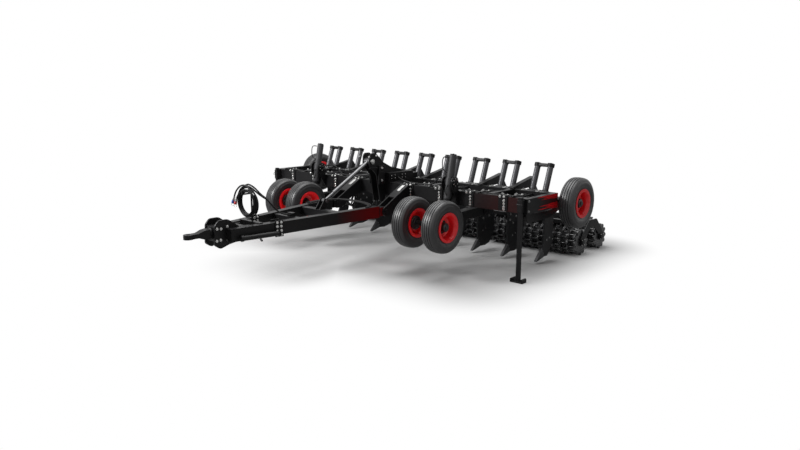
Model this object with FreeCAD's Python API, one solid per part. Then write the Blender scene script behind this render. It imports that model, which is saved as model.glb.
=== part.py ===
"""Towed subsoiler: a rigid frame with one row of nine spring-loaded legs, three pairs of packer
rollers, two pairs of lift wheels in front, two wheels behind, and a drawbar with a swivel eye.

Millimetres. +X is the machine's left, +Y points to its rear and +Z is up. Every place below is
measured from the middle of the machine, from the top of the leg springs and from the ground.
The finished pieces are moved so that the origin lies under the middle of the whole machine.
"""
import FreeCAD, Part
import math
import os
from FreeCAD import Vector

# Driving dimensions of the frame
leg_pitch = 580.0
legs_each_side = 4
beam_width = 120.0
beam_height = 210.0
beam_wall = 12.0
beam_top = 1164.0
front_beam_y = -1071.0
rear_beam_y = -380.0
rail_outer_x = 2745.0
rail_width = 80.0
plate = 16.0
running_gap = 0.3

# Driving dimensions of a leg and its springs
spring_lean = 20.0
spring_radius = 44.0
spring_length = 372.0
spring_spread = 110.0
spring_seat_y = -140.0
spring_seat_z = 1137.0
yoke_radius = 54.0
yoke_height = 50.0
leg_thickness = 30.0
leg_pivot_y = -20.0
leg_pivot_z = 880.0
rod_eye_y = -228.0
rod_eye_z = 898.0
rod_radius = 13.0
leg_pin_radius = 24.0

# Driving dimensions of the wheels and their arms
tyre_radius = 378.0
tyre_width = 232.0
rim_radius = 202.0
rim_flange_radius = 214.0
rim_width = 200.0
hub_radius = 62.0
axle_radius = 34.0
front_wheel_x = 1480.0
front_wheel_spread = 277.0
front_wheel_y = -1732.0
front_wheel_z = 736.0
rear_wheel_x = 2872.0
rear_wheel_y = 9.0
rear_wheel_z = 993.0
front_arm_x = 1470.0
front_arm_width = 140.0
front_arm_y = -380.0
front_arm_z = 780.0
pin_radius = 30.0
lift_y = -1223.0
lift_trunnion_z = 1299.0
lift_barrel_radius = 54.0
lift_barrel_rise = 403.0
lift_barrel_drop = 300.0
lift_rod_radius = 32.0
lift_eye_y = -1326.0
lift_eye_z = 800.0
lift_pin_radius = 20.0
lift_pin_play = 12.0
rear_arm_x = 2605.0
rear_arm_width = 70.0
rear_arm_y = -900.0
rear_arm_z = 850.0

# Driving dimensions of the rollers
roller_radius = 215.0
roller_front_y = 830.0
roller_rear_y = 1480.0
roller_section_gap = 110.0
roller_tube_radius = 120.0
ring_count = 13
ring_thickness = 26.0
ring_teeth = 12
ring_land = 0.32
ring_root_radius = 172.0
roller_axle_radius = 25.0
section_pitch = 3.0 * leg_pitch
roller_half_length = (section_pitch - roller_section_gap) / 2.0
roller_arm_offset = leg_pitch / 2.0
roller_pivot_y = -200.0
roller_pivot_z = 1080.0
section_beam_z = 440.0
section_beam_size = 100.0

# Driving dimensions of the drawbar, its eye and its link
drawbar_front_x = 174.0
drawbar_rear_x = 545.0
drawbar_front_y = -4160.0
drawbar_rear_y = -1680.0
drawbar_front_z = 770.0
drawbar_rear_z = 818.0
drawbar_width = 110.0
drawbar_height = 172.0
cheek_inner_x = 95.0
cheek_plate = 24.0
swivel_y = -4330.0
swivel_z = 800.0
eye_y = -4640.0
eye_bore_radius = 26.0
eye_radius = 64.0
eye_thickness = 60.0
mast_pin_y = -1432.0
mast_pin_z = 1514.0
mast_cheek_x = 60.0
link_foot_y = -2372.0
link_foot_z = 992.0
link_pin_radius = 16.0
link_pin_play = 7.0

# Driving dimensions of the stands and of the drawbar jack
stand_x = 2674.0
stand_y = -1190.0
stand_tube = 52.0
stand_top = 1186.0
stand_foot_length = 200.0
stand_foot_width = 110.0
stand_foot_height = 60.0
sleeve_top = 1150.0
sleeve_bottom = 985.0
jack_offset = 112.0
jack_pivot_y = -3950.0
jack_z = 730.0
jack_length = 440.0
jack_radius = 34.0
jack_foot_radius = 44.0

# Driving dimensions of the hoses and their stand
hose_radius = 11.0
hose_stand_y = -3690.0
coil_x = 30.0
coil_z = 1160.0
coil_radius = 236.0
coil_hole_radius = 140.0
coil_hole_drop = 34.0
coil_front_y = -3800.0
coil_thickness = 90.0
hose_block_y = -3060.0

front_face_y = front_beam_y - beam_width / 2.0
rear_face_y = rear_beam_y + beam_width / 2.0
front_inner_y = front_beam_y + beam_width / 2.0
rear_inner_y = rear_beam_y - beam_width / 2.0
beam_bottom = beam_top - beam_height
rail_inner_x = rail_outer_x - rail_width
roller_z = roller_radius * math.cos(math.pi * ring_land / ring_teeth)
machine_front = eye_y - eye_radius
machine_rear = roller_rear_y + roller_z
origin_y = (machine_front + machine_rear) / 2.0
leg_places = [number * leg_pitch for number in range(-legs_each_side, legs_each_side + 1)]
section_places = {"right": -section_pitch, "middle": 0.0, "left": section_pitch}
sides = {"left": 1.0, "right": -1.0}

os.makedirs("parts", exist_ok=True)


def solids_of(shapes):
    found = []
    for shape in shapes:
        found.extend(shape.Solids)
    return found


def export(node, *shapes):
    """Write one node from its solids, moved to the frame of the whole machine."""
    solids = solids_of(shapes)
    whole = solids[0].copy() if len(solids) == 1 else Part.makeCompound(solids)
    whole.translate(Vector(0, -origin_y, 0))
    whole.exportStep("parts/" + node + ".step")


def join(*shapes):
    joined = shapes[0].multiFuse(list(shapes[1:]))
    return joined.removeSplitter()


def box(x, y, z):
    """A block between two values along each axis."""
    return Part.makeBox(x[1] - x[0], y[1] - y[0], z[1] - z[0], Vector(x[0], y[0], z[0]))


def rod(start, end, radius):
    """A round bar from one point to another."""
    start = Vector(*start)
    along = Vector(*end) - start
    return Part.makeCylinder(radius, along.Length, start, along)


def outline(points):
    """A closed wire through corners (a, b) or rounded corners (a, b, radius)."""
    corners = [(Vector(point[0], point[1], 0), point[2] if len(point) > 2 else 0.0) for point in points]
    edges = []
    ends = []
    for number, (corner, radius) in enumerate(corners):
        before = corners[number - 1][0]
        after = corners[(number + 1) % len(corners)][0]
        if radius <= 0.0:
            ends.append((corner, corner))
            continue
        to_before = (before - corner).normalize()
        to_after = (after - corner).normalize()
        half_angle = to_before.getAngle(to_after) / 2.0
        reach = radius / math.tan(half_angle)
        start = corner + to_before * reach
        end = corner + to_after * reach
        bisector = (to_before + to_after).normalize()
        middle = corner + bisector * (radius / math.sin(half_angle) - radius)
        edges.append((number, Part.Arc(start, middle, end).toShape()))
        ends.append((start, end))
    arcs = dict(edges)
    path = []
    for number in range(len(corners)):
        if number in arcs:
            path.append(arcs[number])
        leave = ends[number][1]
        arrive = ends[(number + 1) % len(corners)][0]
        if (arrive - leave).Length > 0.01:
            path.append(Part.LineSegment(leave, arrive).toShape())
    return Part.Wire(path)


def side_plate(points, x):
    """A plate cut to an outline of (y, z) corners, from x[0] to x[1]."""
    face = Part.Face(outline(points))
    face.Placement = FreeCAD.Placement(FreeCAD.Matrix(0, 0, 1, x[0], 1, 0, 0, 0, 0, 1, 0, 0, 0, 0, 0, 1))
    return face.extrude(Vector(x[1] - x[0], 0, 0))


def front_plate(points, y):
    """A plate cut to an outline of (x, z) corners, from y[0] to y[1]."""
    face = Part.Face(outline(points))
    face.Placement = FreeCAD.Placement(FreeCAD.Matrix(1, 0, 0, 0, 0, 0, -1, y[0], 0, 1, 0, 0, 0, 0, 0, 1))
    return face.extrude(Vector(0, y[1] - y[0], 0))


def flat_plate(points, z):
    """A plate cut to an outline of (x, y) corners, from z[0] to z[1]."""
    face = Part.Face(outline(points))
    face.translate(Vector(0, 0, z[0]))
    return face.extrude(Vector(0, 0, z[1] - z[0]))


def turned(profile, centre):
    """A ring or disc turned about the line along X through centre, from (x, radius) corners."""
    face = Part.Face(outline(profile))
    whole = face.revolve(Vector(0, 0, 0), Vector(1, 0, 0), 360)
    whole.translate(Vector(*centre))
    return whole


def mirrored(shape):
    return shape.mirror(Vector(0, 0, 0), Vector(1, 0, 0))


def leaned(shape):
    """Lean a spring piece that stands on its seat back by the springs' angle."""
    leaning = shape.copy()
    leaning.rotate(Vector(0, spring_seat_y, spring_seat_z), Vector(1, 0, 0), -spring_lean)
    return leaning


def at_places(shape, places):
    """Copies of a shape at the given places across the machine."""
    copies = []
    for place in places:
        copy = shape.copy()
        copy.translate(Vector(place, 0, 0))
        copies.append(copy)
    return copies


# Frame beams, rails and the members between them
def frame_beam(middle_y):
    y = (middle_y - beam_width / 2.0, middle_y + beam_width / 2.0)
    outer = box((-rail_inner_x, rail_inner_x), y, (beam_bottom, beam_top))
    inner = box((-rail_inner_x, rail_inner_x), (y[0] + beam_wall, y[1] - beam_wall),
                (beam_bottom + beam_wall, beam_top - beam_wall))
    return outer.cut(inner)


def frame_rail():
    return box((rail_inner_x, rail_outer_x), (front_face_y, rear_face_y), (beam_bottom, beam_top))


member_places = [1.5, 3.5]
member_width = 80.0
member_height = 150.0


def frame_members():
    bars = []
    for place in member_places:
        middle = place * leg_pitch
        bars.append(box((middle - member_width / 2.0, middle + member_width / 2.0),
                        (front_inner_y, rear_inner_y), (beam_top - member_height, beam_top)))
    return bars


export("front_beam", frame_beam(front_beam_y))
export("rear_beam", frame_beam(rear_beam_y))
export("side_rails", frame_rail(), mirrored(frame_rail()))
members = frame_members()
export("frame_members", *members, *[mirrored(bar) for bar in members])

# Mast and the spine behind it
spine_top = 1312.0
spine_half = 172.0
spine_rear_y = -560.0
mast_plate = 20.0


def mast_cheek():
    return side_plate([(-1250, 853, 30), (front_face_y, 853), (front_face_y, spine_top),
                       (-660, spine_top), (-660, spine_top + 8), (-1000, 1400, 80), (-1183, 1488, 80),
                       (-1345, 1643, 40), (-1480, 1643, 64), (-1492, 1450, 60), (-1330, 1290, 80)],
                      (mast_cheek_x, mast_cheek_x + mast_plate))


def mast_spine():
    block = box((-spine_half, spine_half), (front_face_y, spine_rear_y), (beam_top, spine_top))
    tail = box((-mast_cheek_x, mast_cheek_x), (spine_rear_y - 1, rear_face_y), (beam_top, spine_top - 60))
    return join(block, tail)


mast_pin = rod((-mast_cheek_x - mast_plate - 12, mast_pin_y, mast_pin_z),
               (mast_cheek_x + mast_plate + 12, mast_pin_y, mast_pin_z), pin_radius)
mast_cheeks = [mast_cheek(), mirrored(mast_cheek())]
export("mast", join(mast_cheeks[0], mast_cheeks[1], mast_pin))
export("spine", mast_spine())

# Brackets that carry the drawbar
bracket_plate = 20.0
bracket_gap = 4.0
bracket_places = [drawbar_rear_x - drawbar_width / 2.0 - bracket_gap - bracket_plate,
                  drawbar_rear_x + drawbar_width / 2.0 + bracket_gap]


def drawbar_bracket():
    cheeks = []
    for place in bracket_places:
        cheeks.append(side_plate([(front_face_y, 930), (front_face_y, beam_top), (-1190, beam_top),
                                  (-1480, 1010, 60), (-1600, 940, 60),
                                  (drawbar_rear_y - 75, drawbar_rear_z + 40, 60),
                                  (drawbar_rear_y - 75, drawbar_rear_z - 75, 70),
                                  (drawbar_rear_y + 75, drawbar_rear_z - 75, 70), (-1350, 900, 60)],
                                 (place, place + bracket_plate)))
    pin = rod((bracket_places[0] - 15, drawbar_rear_y, drawbar_rear_z),
              (bracket_places[1] + bracket_plate + 15, drawbar_rear_y, drawbar_rear_z), pin_radius)
    crown = side_plate([(front_face_y, beam_top), (-1190, beam_top), (-1480, 1010),
                        (-1480, 994), (-1195, 1148), (front_face_y, 1148)],
                       (bracket_places[0] + bracket_plate, bracket_places[1]))
    return join(cheeks[0], cheeks[1], pin, crown)


near_bracket = drawbar_bracket()
export("drawbar_brackets", near_bracket, mirrored(near_bracket))

# Leg brackets, legs, points, springs and yokes
cheek_spread = 60.0
seat_edge = 11.0
seat_width = 2.0 * (spring_spread + spring_radius + seat_edge)
seat_depth = 118.0
nose_top = (-74.0, 212.0)
nose_bottom = (-14.0, 84.0)
point_reach = 160.0
point_tip_z = 36.0
point_width = 46.0
outer_leg_shift = 72.0


def leg_bracket():
    cheeks = []
    for side in (-1.0, 1.0):
        inner = side * cheek_spread
        outer = side * (cheek_spread + plate)
        x = (min(inner, outer), max(inner, outer))
        cheeks.append(side_plate([(rear_face_y, beam_bottom), (rear_face_y, beam_top - 6),
                                  (spring_seat_y - 60, spring_seat_z + 6),
                                  (spring_seat_y + 50, spring_seat_z - 36),
                                  (40, 1000, 40), (leg_pivot_y + 62, leg_pivot_z - 40, 50),
                                  (leg_pivot_y - 20, leg_pivot_z - 66, 40), (-92, 905, 30),
                                  (-190, 948, 30)], x))
    pin = rod((-cheek_spread - plate - 10, leg_pivot_y, leg_pivot_z),
              (cheek_spread + plate + 10, leg_pivot_y, leg_pivot_z), leg_pin_radius)
    seat = leaned(box((-seat_width / 2.0, seat_width / 2.0),
                      (spring_seat_y - seat_depth / 2.0, spring_seat_y + seat_depth / 2.0),
                      (spring_seat_z - plate, spring_seat_z)))
    for side in (-1.0, 1.0):
        seat = seat.cut(leaned(rod((side * spring_spread, spring_seat_y, spring_seat_z - 2 * plate),
                                   (side * spring_spread, spring_seat_y, spring_seat_z + plate),
                                   rod_radius + 2)))
    return join(cheeks[0], cheeks[1], pin, seat)


def leg_shank(wide):
    half = leg_thickness / 2.0
    upper = [(rod_eye_y - 40, rod_eye_z + 40, 30), (-120, 960, 30), (40, 940, 60), (120, 840, 60)]
    shift = 0.0 if wide else outer_leg_shift
    nose = [(nose_bottom[0] + shift, nose_bottom[1]), (nose_top[0] + shift, nose_top[1])]
    if wide:
        rear = [(330, 700, 80), (396, 540, 140), (366, 270, 130), (250, 104, 60), (124, 74, 30)]
        front = [(-88, 440, 80), (-70, 700, 80)]
    else:
        rear = [(262, 760, 60), (310, 640, 60), (290, 290, 60), (226, 148, 30), (152, 74, 20)]
        front = [(48, 290, 60), (54, 640, 60), (-20, 770, 60)]
    eye = [(rod_eye_y - 40, rod_eye_z - 40, 30)]
    blade = side_plate(upper + rear + nose + front + eye, (-half, half))
    bar_y = spring_seat_y - (spring_seat_z - rod_eye_z) * math.tan(math.radians(spring_lean))
    blade = blade.cut(rod((-half - 1, bar_y, rod_eye_z), (half + 1, bar_y, rod_eye_z), 19 + 3))
    return blade.cut(rod((-half - 1, leg_pivot_y, leg_pivot_z), (half + 1, leg_pivot_y, leg_pivot_z),
                         leg_pin_radius))


def leg_point(shift):
    """The chisel in front of the foot: a bar seated on the nose, its tip ground to an edge."""
    top = (nose_top[0] + shift, nose_top[1])
    bottom = (nose_bottom[0] + shift, nose_bottom[1])
    tip_y = top[0] - point_reach
    return side_plate([top, (tip_y + 18, point_tip_z + 26), (tip_y, point_tip_z),
                       (tip_y + 34, point_tip_z + 4),
                       bottom], (-point_width / 2.0, point_width / 2.0))


def spring_pair():
    springs = []
    for side in (-1.0, 1.0):
        foot = (side * spring_spread, spring_seat_y, spring_seat_z)
        head = (side * spring_spread, spring_seat_y, spring_seat_z + spring_length)
        springs.append(leaned(rod(foot, head, spring_radius)))
    return springs


def yoke():
    foot = spring_seat_z + spring_length
    bar = box((-spring_spread, spring_spread), (spring_seat_y - 40, spring_seat_y + 40),
              (foot + 4, foot + yoke_height - 8))
    caps = []
    for side in (-1.0, 1.0):
        caps.append(rod((side * spring_spread, spring_seat_y, foot),
                        (side * spring_spread, spring_seat_y, foot + yoke_height), yoke_radius))
    return leaned(join(bar, caps[0], caps[1]))


def pull_rods():
    """Two rods from the spring seat to the bar that lifts the leg's eye."""
    length = (spring_seat_z - plate - rod_eye_z) / math.cos(math.radians(spring_lean))
    foot = spring_seat_z - plate - length
    bars = [leaned(rod((-spring_spread - 22, spring_seat_y, foot),
                       (spring_spread + 22, spring_seat_y, foot), 19))]
    for side in (-1.0, 1.0):
        bars.append(leaned(rod((side * spring_spread, spring_seat_y, foot),
                               (side * spring_spread, spring_seat_y, spring_seat_z - running_gap),
                               rod_radius)))
    return join(*bars)


wide_places = leg_places[1:-1]
outer_places = [leg_places[0], leg_places[-1]]
export("leg_brackets", *at_places(leg_bracket(), leg_places))
export("legs", *at_places(leg_shank(True), wide_places), *at_places(leg_shank(False), outer_places))
export("leg_points", *at_places(leg_point(0.0), wide_places),
       *at_places(leg_point(outer_leg_shift), outer_places))
springs = spring_pair()
export("springs", *at_places(springs[0], leg_places), *at_places(springs[1], leg_places))
export("spring_yokes", *at_places(yoke(), leg_places))
export("pull_rods", *at_places(pull_rods(), leg_places))


# Wheels
def tyre(x, y, z):
    half = tyre_width / 2.0
    bead = rim_width / 2.0
    shoulder = tyre_radius - 26.0
    return turned([(-bead, rim_radius), (-bead, rim_radius + 26), (-half, rim_radius + 78, 60),
                   (-half + 4, shoulder, 34), (-half + 44, tyre_radius, 40), (half - 44, tyre_radius, 40),
                   (half - 4, shoulder, 34), (half, rim_radius + 78, 60), (bead, rim_radius + 26),
                   (bead, rim_radius)], (x, y, z))


def rim(x, y, z, outward):
    """A deep dished rim with its flanges, disc and hub; outward is +1 or -1 along X."""
    bead = rim_width / 2.0 + running_gap
    seat = rim_radius - running_gap
    shell = [(-bead, rim_flange_radius), (-bead, seat), (-bead + 30, seat), (-24, rim_radius - 36),
             (bead - 50, rim_radius - 36), (bead - 30, seat), (bead, seat), (bead, rim_flange_radius),
             (bead + 10, rim_flange_radius), (bead + 10, rim_radius - 26), (bead - 36, rim_radius - 48),
             (-6, rim_radius - 48), (-26, 120), (-26, hub_radius), (54, hub_radius), (62, hub_radius - 10),
             (62, axle_radius), (-70, axle_radius), (-70, hub_radius + 10), (-38, hub_radius + 10),
             (-38, 126), (-20, rim_radius - 48), (-bead + 36, rim_radius - 48),
             (-bead - 10, rim_radius - 26), (-bead - 10, rim_flange_radius)]
    profile = [(outward * point[0], point[1]) for point in shell]
    return turned(profile, (x, y, z))


def twin_wheels(side):
    """The pair's tyres, and their rims with the shaft that carries them."""
    tyres = []
    rims = []
    for offset in (-1.0, 1.0):
        place = side * front_wheel_x + offset * front_wheel_spread
        tyres.append(tyre(place, front_wheel_y, front_wheel_z))
        rims.append(rim(place, front_wheel_y, front_wheel_z, offset))
    shaft = rod((side * front_wheel_x - front_wheel_spread - 50, front_wheel_y, front_wheel_z),
                (side * front_wheel_x + front_wheel_spread + 50, front_wheel_y, front_wheel_z),
                axle_radius - running_gap)
    return tyres, rims + [shaft]


for name, side in sides.items():
    tyres, rims = twin_wheels(side)
    export("front_tyres_" + name, *tyres)
    export("front_rims_" + name, *rims)
    export("rear_tyre_" + name, tyre(side * rear_wheel_x, rear_wheel_y, rear_wheel_z))
    export("rear_rim_" + name, rim(side * rear_wheel_x, rear_wheel_y, rear_wheel_z, side))

# Front arms with their brackets and lift cylinders
arm_bracket_gap = 3.0
trunnion_radius = 32.0
trunnion_bracket_gap = 26.0


def front_arm(x):
    half = front_arm_width / 2.0
    bar = side_plate([(front_arm_y + 74, front_arm_z + 74, 70), (front_arm_y + 74, front_arm_z - 74, 70),
                      (-1000, 700, 60), (front_wheel_y - 68, front_wheel_z - 68, 60),
                      (front_wheel_y - 68, front_wheel_z + 68, 60), (-1000, 828, 60)],
                     (x - half, x + half))
    ears = side_plate([(lift_eye_y + 110, 760), (lift_eye_y + 56, lift_eye_z + 52, 44),
                       (lift_eye_y - 56, lift_eye_z + 52, 44), (lift_eye_y - 110, 750)],
                       (x - half, x + half))
    slot = box((x - lift_rod_radius - 6, x + lift_rod_radius + 6), (lift_eye_y - 100, lift_eye_y + 110),
               (lift_eye_z - 64, lift_eye_z + 70))
    body = join(bar, ears).cut(slot)
    body = body.cut(rod((x - half - 1, lift_eye_y, lift_eye_z), (x + half + 1, lift_eye_y, lift_eye_z),
                        lift_pin_radius + lift_pin_play))
    body = body.cut(rod((x - half - 1, front_arm_y, front_arm_z), (x + half + 1, front_arm_y, front_arm_z),
                        pin_radius + running_gap))
    return body.cut(rod((x - half - 1, front_wheel_y, front_wheel_z),
                        (x + half + 1, front_wheel_y, front_wheel_z), axle_radius + running_gap))


def front_arm_bracket(x):
    cheeks = []
    for side in (-1.0, 1.0):
        inner = x + side * (front_arm_width / 2.0 + arm_bracket_gap)
        outer = inner + side * plate
        cheeks.append(side_plate([(rear_inner_y, beam_bottom), (front_arm_y - 74, front_arm_z - 74, 58),
                                  (front_arm_y + 74, front_arm_z - 74, 58), (rear_face_y, beam_bottom)],
                                 (min(inner, outer), max(inner, outer))))
    reach = front_arm_width / 2.0 + arm_bracket_gap + plate + 12
    pin = rod((x - reach, front_arm_y, front_arm_z), (x + reach, front_arm_y, front_arm_z), pin_radius)
    return join(cheeks[0], cheeks[1], pin)


def lift_bracket(x):
    """Two ears on the front beam that hold the cylinder's trunnions."""
    ears = []
    hub = 78.0
    for side in (-1.0, 1.0):
        inner = x + side * (lift_barrel_radius + trunnion_bracket_gap)
        outer = inner + side * plate
        ear = side_plate([(front_face_y, 960), (front_face_y, 1240),
                          (lift_y + hub, lift_trunnion_z + hub, hub - 4),
                          (lift_y - hub, lift_trunnion_z + hub, hub - 4),
                          (lift_y - hub, lift_trunnion_z - hub, hub - 4), (lift_y + 40, 1040, 60)],
                         (min(inner, outer), max(inner, outer)))
        ears.append(ear.cut(rod((x - 300, lift_y, lift_trunnion_z), (x + 300, lift_y, lift_trunnion_z),
                                trunnion_radius + running_gap)))
    return ears


lift_lean = math.degrees(math.atan2(lift_y - lift_eye_y, lift_trunnion_z - lift_eye_z))
lift_reach = math.hypot(lift_y - lift_eye_y, lift_trunnion_z - lift_eye_z)
lift_top = lift_trunnion_z + lift_barrel_rise


def leaned_lift(shape, x):
    """Lean a cylinder piece that is drawn upright about its trunnions."""
    leaning = shape.copy()
    leaning.rotate(Vector(x, lift_y, lift_trunnion_z), Vector(1, 0, 0), -lift_lean)
    return leaning


def lift_barrel(x):
    trunnion_reach = lift_barrel_radius + trunnion_bracket_gap + plate + 10
    low = lift_trunnion_z - lift_barrel_drop
    tube = rod((x, lift_y, low), (x, lift_y, lift_top - 14), lift_barrel_radius)
    head = rod((x, lift_y, lift_top - 14), (x, lift_y, lift_top), lift_barrel_radius - 8)
    band = rod((x, lift_y, lift_trunnion_z - 50), (x, lift_y, lift_trunnion_z + 50),
               lift_barrel_radius + 10)
    pins = rod((x - trunnion_reach, lift_y, lift_trunnion_z), (x + trunnion_reach, lift_y, lift_trunnion_z),
               trunnion_radius)
    body = join(tube, head, band, pins)
    return leaned_lift(body.cut(rod((x, lift_y, low - 1), (x, lift_y, lift_top - 60),
                                    lift_rod_radius + running_gap)), x)


def lift_rod(x):
    """The rod with its eye; the pin and its washers move with it inside wider holes in the arm."""
    half = front_arm_width / 2.0
    low = lift_trunnion_z - lift_reach
    shaft = rod((x, lift_y, low), (x, lift_y, lift_top - 76), lift_rod_radius)
    eye = rod((x - lift_rod_radius, lift_y, low), (x + lift_rod_radius, lift_y, low), 42)
    pin = rod((x - half - 10, lift_y, low), (x + half + 10, lift_y, low), lift_pin_radius)
    washers = []
    for face in (-1.0, 1.0):
        washers.append(rod((x + face * (half + 0.5), lift_y, low), (x + face * (half + 8.5), lift_y, low),
                           42))
    return leaned_lift(join(shaft, eye, pin, *washers), x)


arm_brackets = []
lift_brackets = []
for name, side in sides.items():
    place = side * front_arm_x
    export("front_arm_" + name, front_arm(place))
    export("lift_barrel_" + name, lift_barrel(place))
    export("lift_rod_" + name, lift_rod(place))
    arm_brackets.append(front_arm_bracket(place))
    lift_brackets.extend(lift_bracket(place))


# Rear wheel arms and the plates that hold them
def rear_arm(side):
    half = rear_arm_width / 2.0
    bar = side_plate([(rear_arm_y - 60, rear_arm_z + 60, 56), (rear_arm_y - 60, rear_arm_z - 60, 56),
                      (-340, 790, 80), (rear_wheel_y + 62, rear_wheel_z - 70, 60),
                      (rear_wheel_y + 62, rear_wheel_z + 62, 60),
                      (rear_wheel_y - 90, rear_wheel_z + 62, 60),
                      (-300, 905, 60)],
                     (rear_arm_x - half, rear_arm_x + half))
    stub = rod((rear_arm_x, rear_wheel_y, rear_wheel_z), (rear_wheel_x + 48, rear_wheel_y, rear_wheel_z),
               axle_radius - running_gap)
    body = join(bar, stub).cut(rod((rear_arm_x - 99, rear_arm_y, rear_arm_z),
                                   (rear_arm_x + 99, rear_arm_y, rear_arm_z), pin_radius + running_gap))
    return body if side > 0 else mirrored(body)


def rear_arm_bracket(side):
    half = rear_arm_width / 2.0
    cheeks = []
    for face in (-1.0, 1.0):
        inner = rear_arm_x + face * (half + arm_bracket_gap)
        outer = inner + face * 12
        cheeks.append(side_plate([(front_inner_y, beam_bottom), (rear_arm_y - 66, rear_arm_z - 66, 60),
                                  (rear_arm_y + 66, rear_arm_z - 66, 60), (rear_arm_y + 100, beam_bottom),
                                  (rear_arm_y + 100, beam_top - 20), (front_inner_y, beam_top - 20)],
                                 (min(inner, outer), max(inner, outer))))
    reach = half + arm_bracket_gap + 12
    pin = rod((rear_arm_x - reach - 10, rear_arm_y, rear_arm_z),
              (rear_arm_x + reach, rear_arm_y, rear_arm_z),
              pin_radius)
    body = join(cheeks[0], cheeks[1], pin)
    return body if side > 0 else mirrored(body)


export("arm_brackets", *arm_brackets, *lift_brackets, rear_arm_bracket(1.0), rear_arm_bracket(-1.0))
for name, side in sides.items():
    export("rear_arm_" + name, rear_arm(side))

# Roller sections: arms, cross beam, end plates and two rollers each
roller_arm_plate = 18.0
roller_arm_flange = 80.0
end_plate_inner = roller_half_length + 12.0
end_plate_outer = end_plate_inner + 14.0
section_beam_y = (roller_front_y + roller_rear_y) / 2.0
section_beam_top = section_beam_z + section_beam_size
roller_lug = 46.0


def roller_arm(x):
    half = roller_arm_plate / 2.0
    web = side_plate([(-470, 1170), (-470, 1184), (60, 1290, 20), (132, 1298, 30), (430, 900, 80),
                      (760, 640, 80), (section_beam_y + 60, section_beam_top + 50, 30),
                      (section_beam_y + 60, section_beam_top), (section_beam_y - 120, section_beam_top),
                      (640, 520, 120), (300, 800, 100), (60, 1140, 90), (-100, 1130, 60),
                      (roller_pivot_y + 52, roller_pivot_z - 40, 30),
                      (roller_pivot_y - 50, roller_pivot_z - 52, 46),
                      (roller_pivot_y - 60, 1170, 20)],
                     (x - half, x + half))
    flange = side_plate([(-470, 1176), (-470, 1188), (132, 1306), (136, 1294), (60, 1278)],
                        (x - roller_arm_flange / 2.0, x + roller_arm_flange / 2.0))
    boss = rod((x - roller_lug, roller_pivot_y, roller_pivot_z),
               (x + roller_lug, roller_pivot_y, roller_pivot_z),
               44)
    body = join(web, flange, boss)
    return body.cut(rod((x - 99, roller_pivot_y, roller_pivot_z), (x + 99, roller_pivot_y, roller_pivot_z),
                        leg_pin_radius + running_gap))


def roller_arm_bracket(x):
    ears = []
    for side in (-1.0, 1.0):
        inner = x + side * (roller_lug + arm_bracket_gap)
        outer = inner + side * plate
        ears.append(side_plate([(rear_face_y, 1010), (rear_face_y, beam_top),
                                (roller_pivot_y + 20, beam_top - 4, 30),
                                (roller_pivot_y + 58, roller_pivot_z + 10, 40),
                                (roller_pivot_y + 40, roller_pivot_z - 60, 40)],
                               (min(inner, outer), max(inner, outer))))
    reach = roller_lug + arm_bracket_gap + plate + 8
    pin = rod((x - reach, roller_pivot_y, roller_pivot_z), (x + reach, roller_pivot_y, roller_pivot_z),
              leg_pin_radius)
    return join(ears[0], ears[1], pin)


def roller(x, y):
    """A tube with toothed rings and a stub axle at each end."""
    tube = rod((x - roller_half_length, y, roller_z), (x + roller_half_length, y, roller_z),
               roller_tube_radius)
    points = []
    for tooth in range(ring_teeth):
        for share, radius in ((0.0, ring_root_radius), (0.5 - ring_land / 2.0, roller_radius),
                              (0.5 + ring_land / 2.0, roller_radius)):
            angle = 2.0 * math.pi * (tooth + share - 0.5) / ring_teeth
            points.append((y + radius * math.cos(angle), roller_z + radius * math.sin(angle)))
    ring = side_plate(points, (0, ring_thickness))
    pitch = (2.0 * roller_half_length - ring_thickness) / (ring_count - 1)
    rings = at_places(ring, [x - roller_half_length + number * pitch for number in range(ring_count)])
    axle = rod((x - end_plate_outer - 6, y, roller_z), (x + end_plate_outer + 6, y, roller_z),
               roller_axle_radius)
    return join(tube, axle, *rings)


def section_beam(middle):
    half = section_beam_size / 2.0
    return box((middle - end_plate_inner, middle + end_plate_inner),
               (section_beam_y - half, section_beam_y + half), (section_beam_z, section_beam_top))


def section_end_plate(x):
    """An arch from the beam down to the two axles, open between the rollers."""
    reach = 62.0
    arch = 62.0
    body = side_plate([(roller_front_y - reach, roller_z - reach, 58),
                       (roller_front_y - reach, roller_z + reach, 50),
                       (section_beam_y - 130, section_beam_top + 6, 50),
                       (section_beam_y + 130, section_beam_top + 6, 50),
                       (roller_rear_y + reach, roller_z + reach, 50),
                       (roller_rear_y + reach, roller_z - reach, 58),
                       (roller_rear_y - reach, roller_z - reach, 58),
                       (roller_rear_y - reach, roller_z + 30, 40),
                       (section_beam_y + arch, section_beam_z - 20, 50),
                       (section_beam_y - arch, section_beam_z - 20, 50),
                       (roller_front_y + reach, roller_z + 30, 40),
                       (roller_front_y + reach, roller_z - reach, 58)],
                      (x, x + end_plate_outer - end_plate_inner))
    for y in (roller_front_y, roller_rear_y):
        body = body.cut(rod((x - 50, y, roller_z), (x + 50, y, roller_z),
                            roller_axle_radius + running_gap))
    return body


roller_arm_brackets = []
for name, middle in section_places.items():
    arm_places = [middle - roller_arm_offset, middle + roller_arm_offset]
    roller_arm_brackets.extend([roller_arm_bracket(place) for place in arm_places])
    export("roller_carrier_" + name, join(section_beam(middle), *[roller_arm(place) for place in arm_places]))
    export("section_ends_" + name, section_end_plate(middle - end_plate_outer),
           section_end_plate(middle + end_plate_inner))
    export("front_roller_" + name, roller(middle, roller_front_y))
    export("rear_roller_" + name, roller(middle, roller_rear_y))
export("roller_arm_brackets", *roller_arm_brackets)

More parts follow.
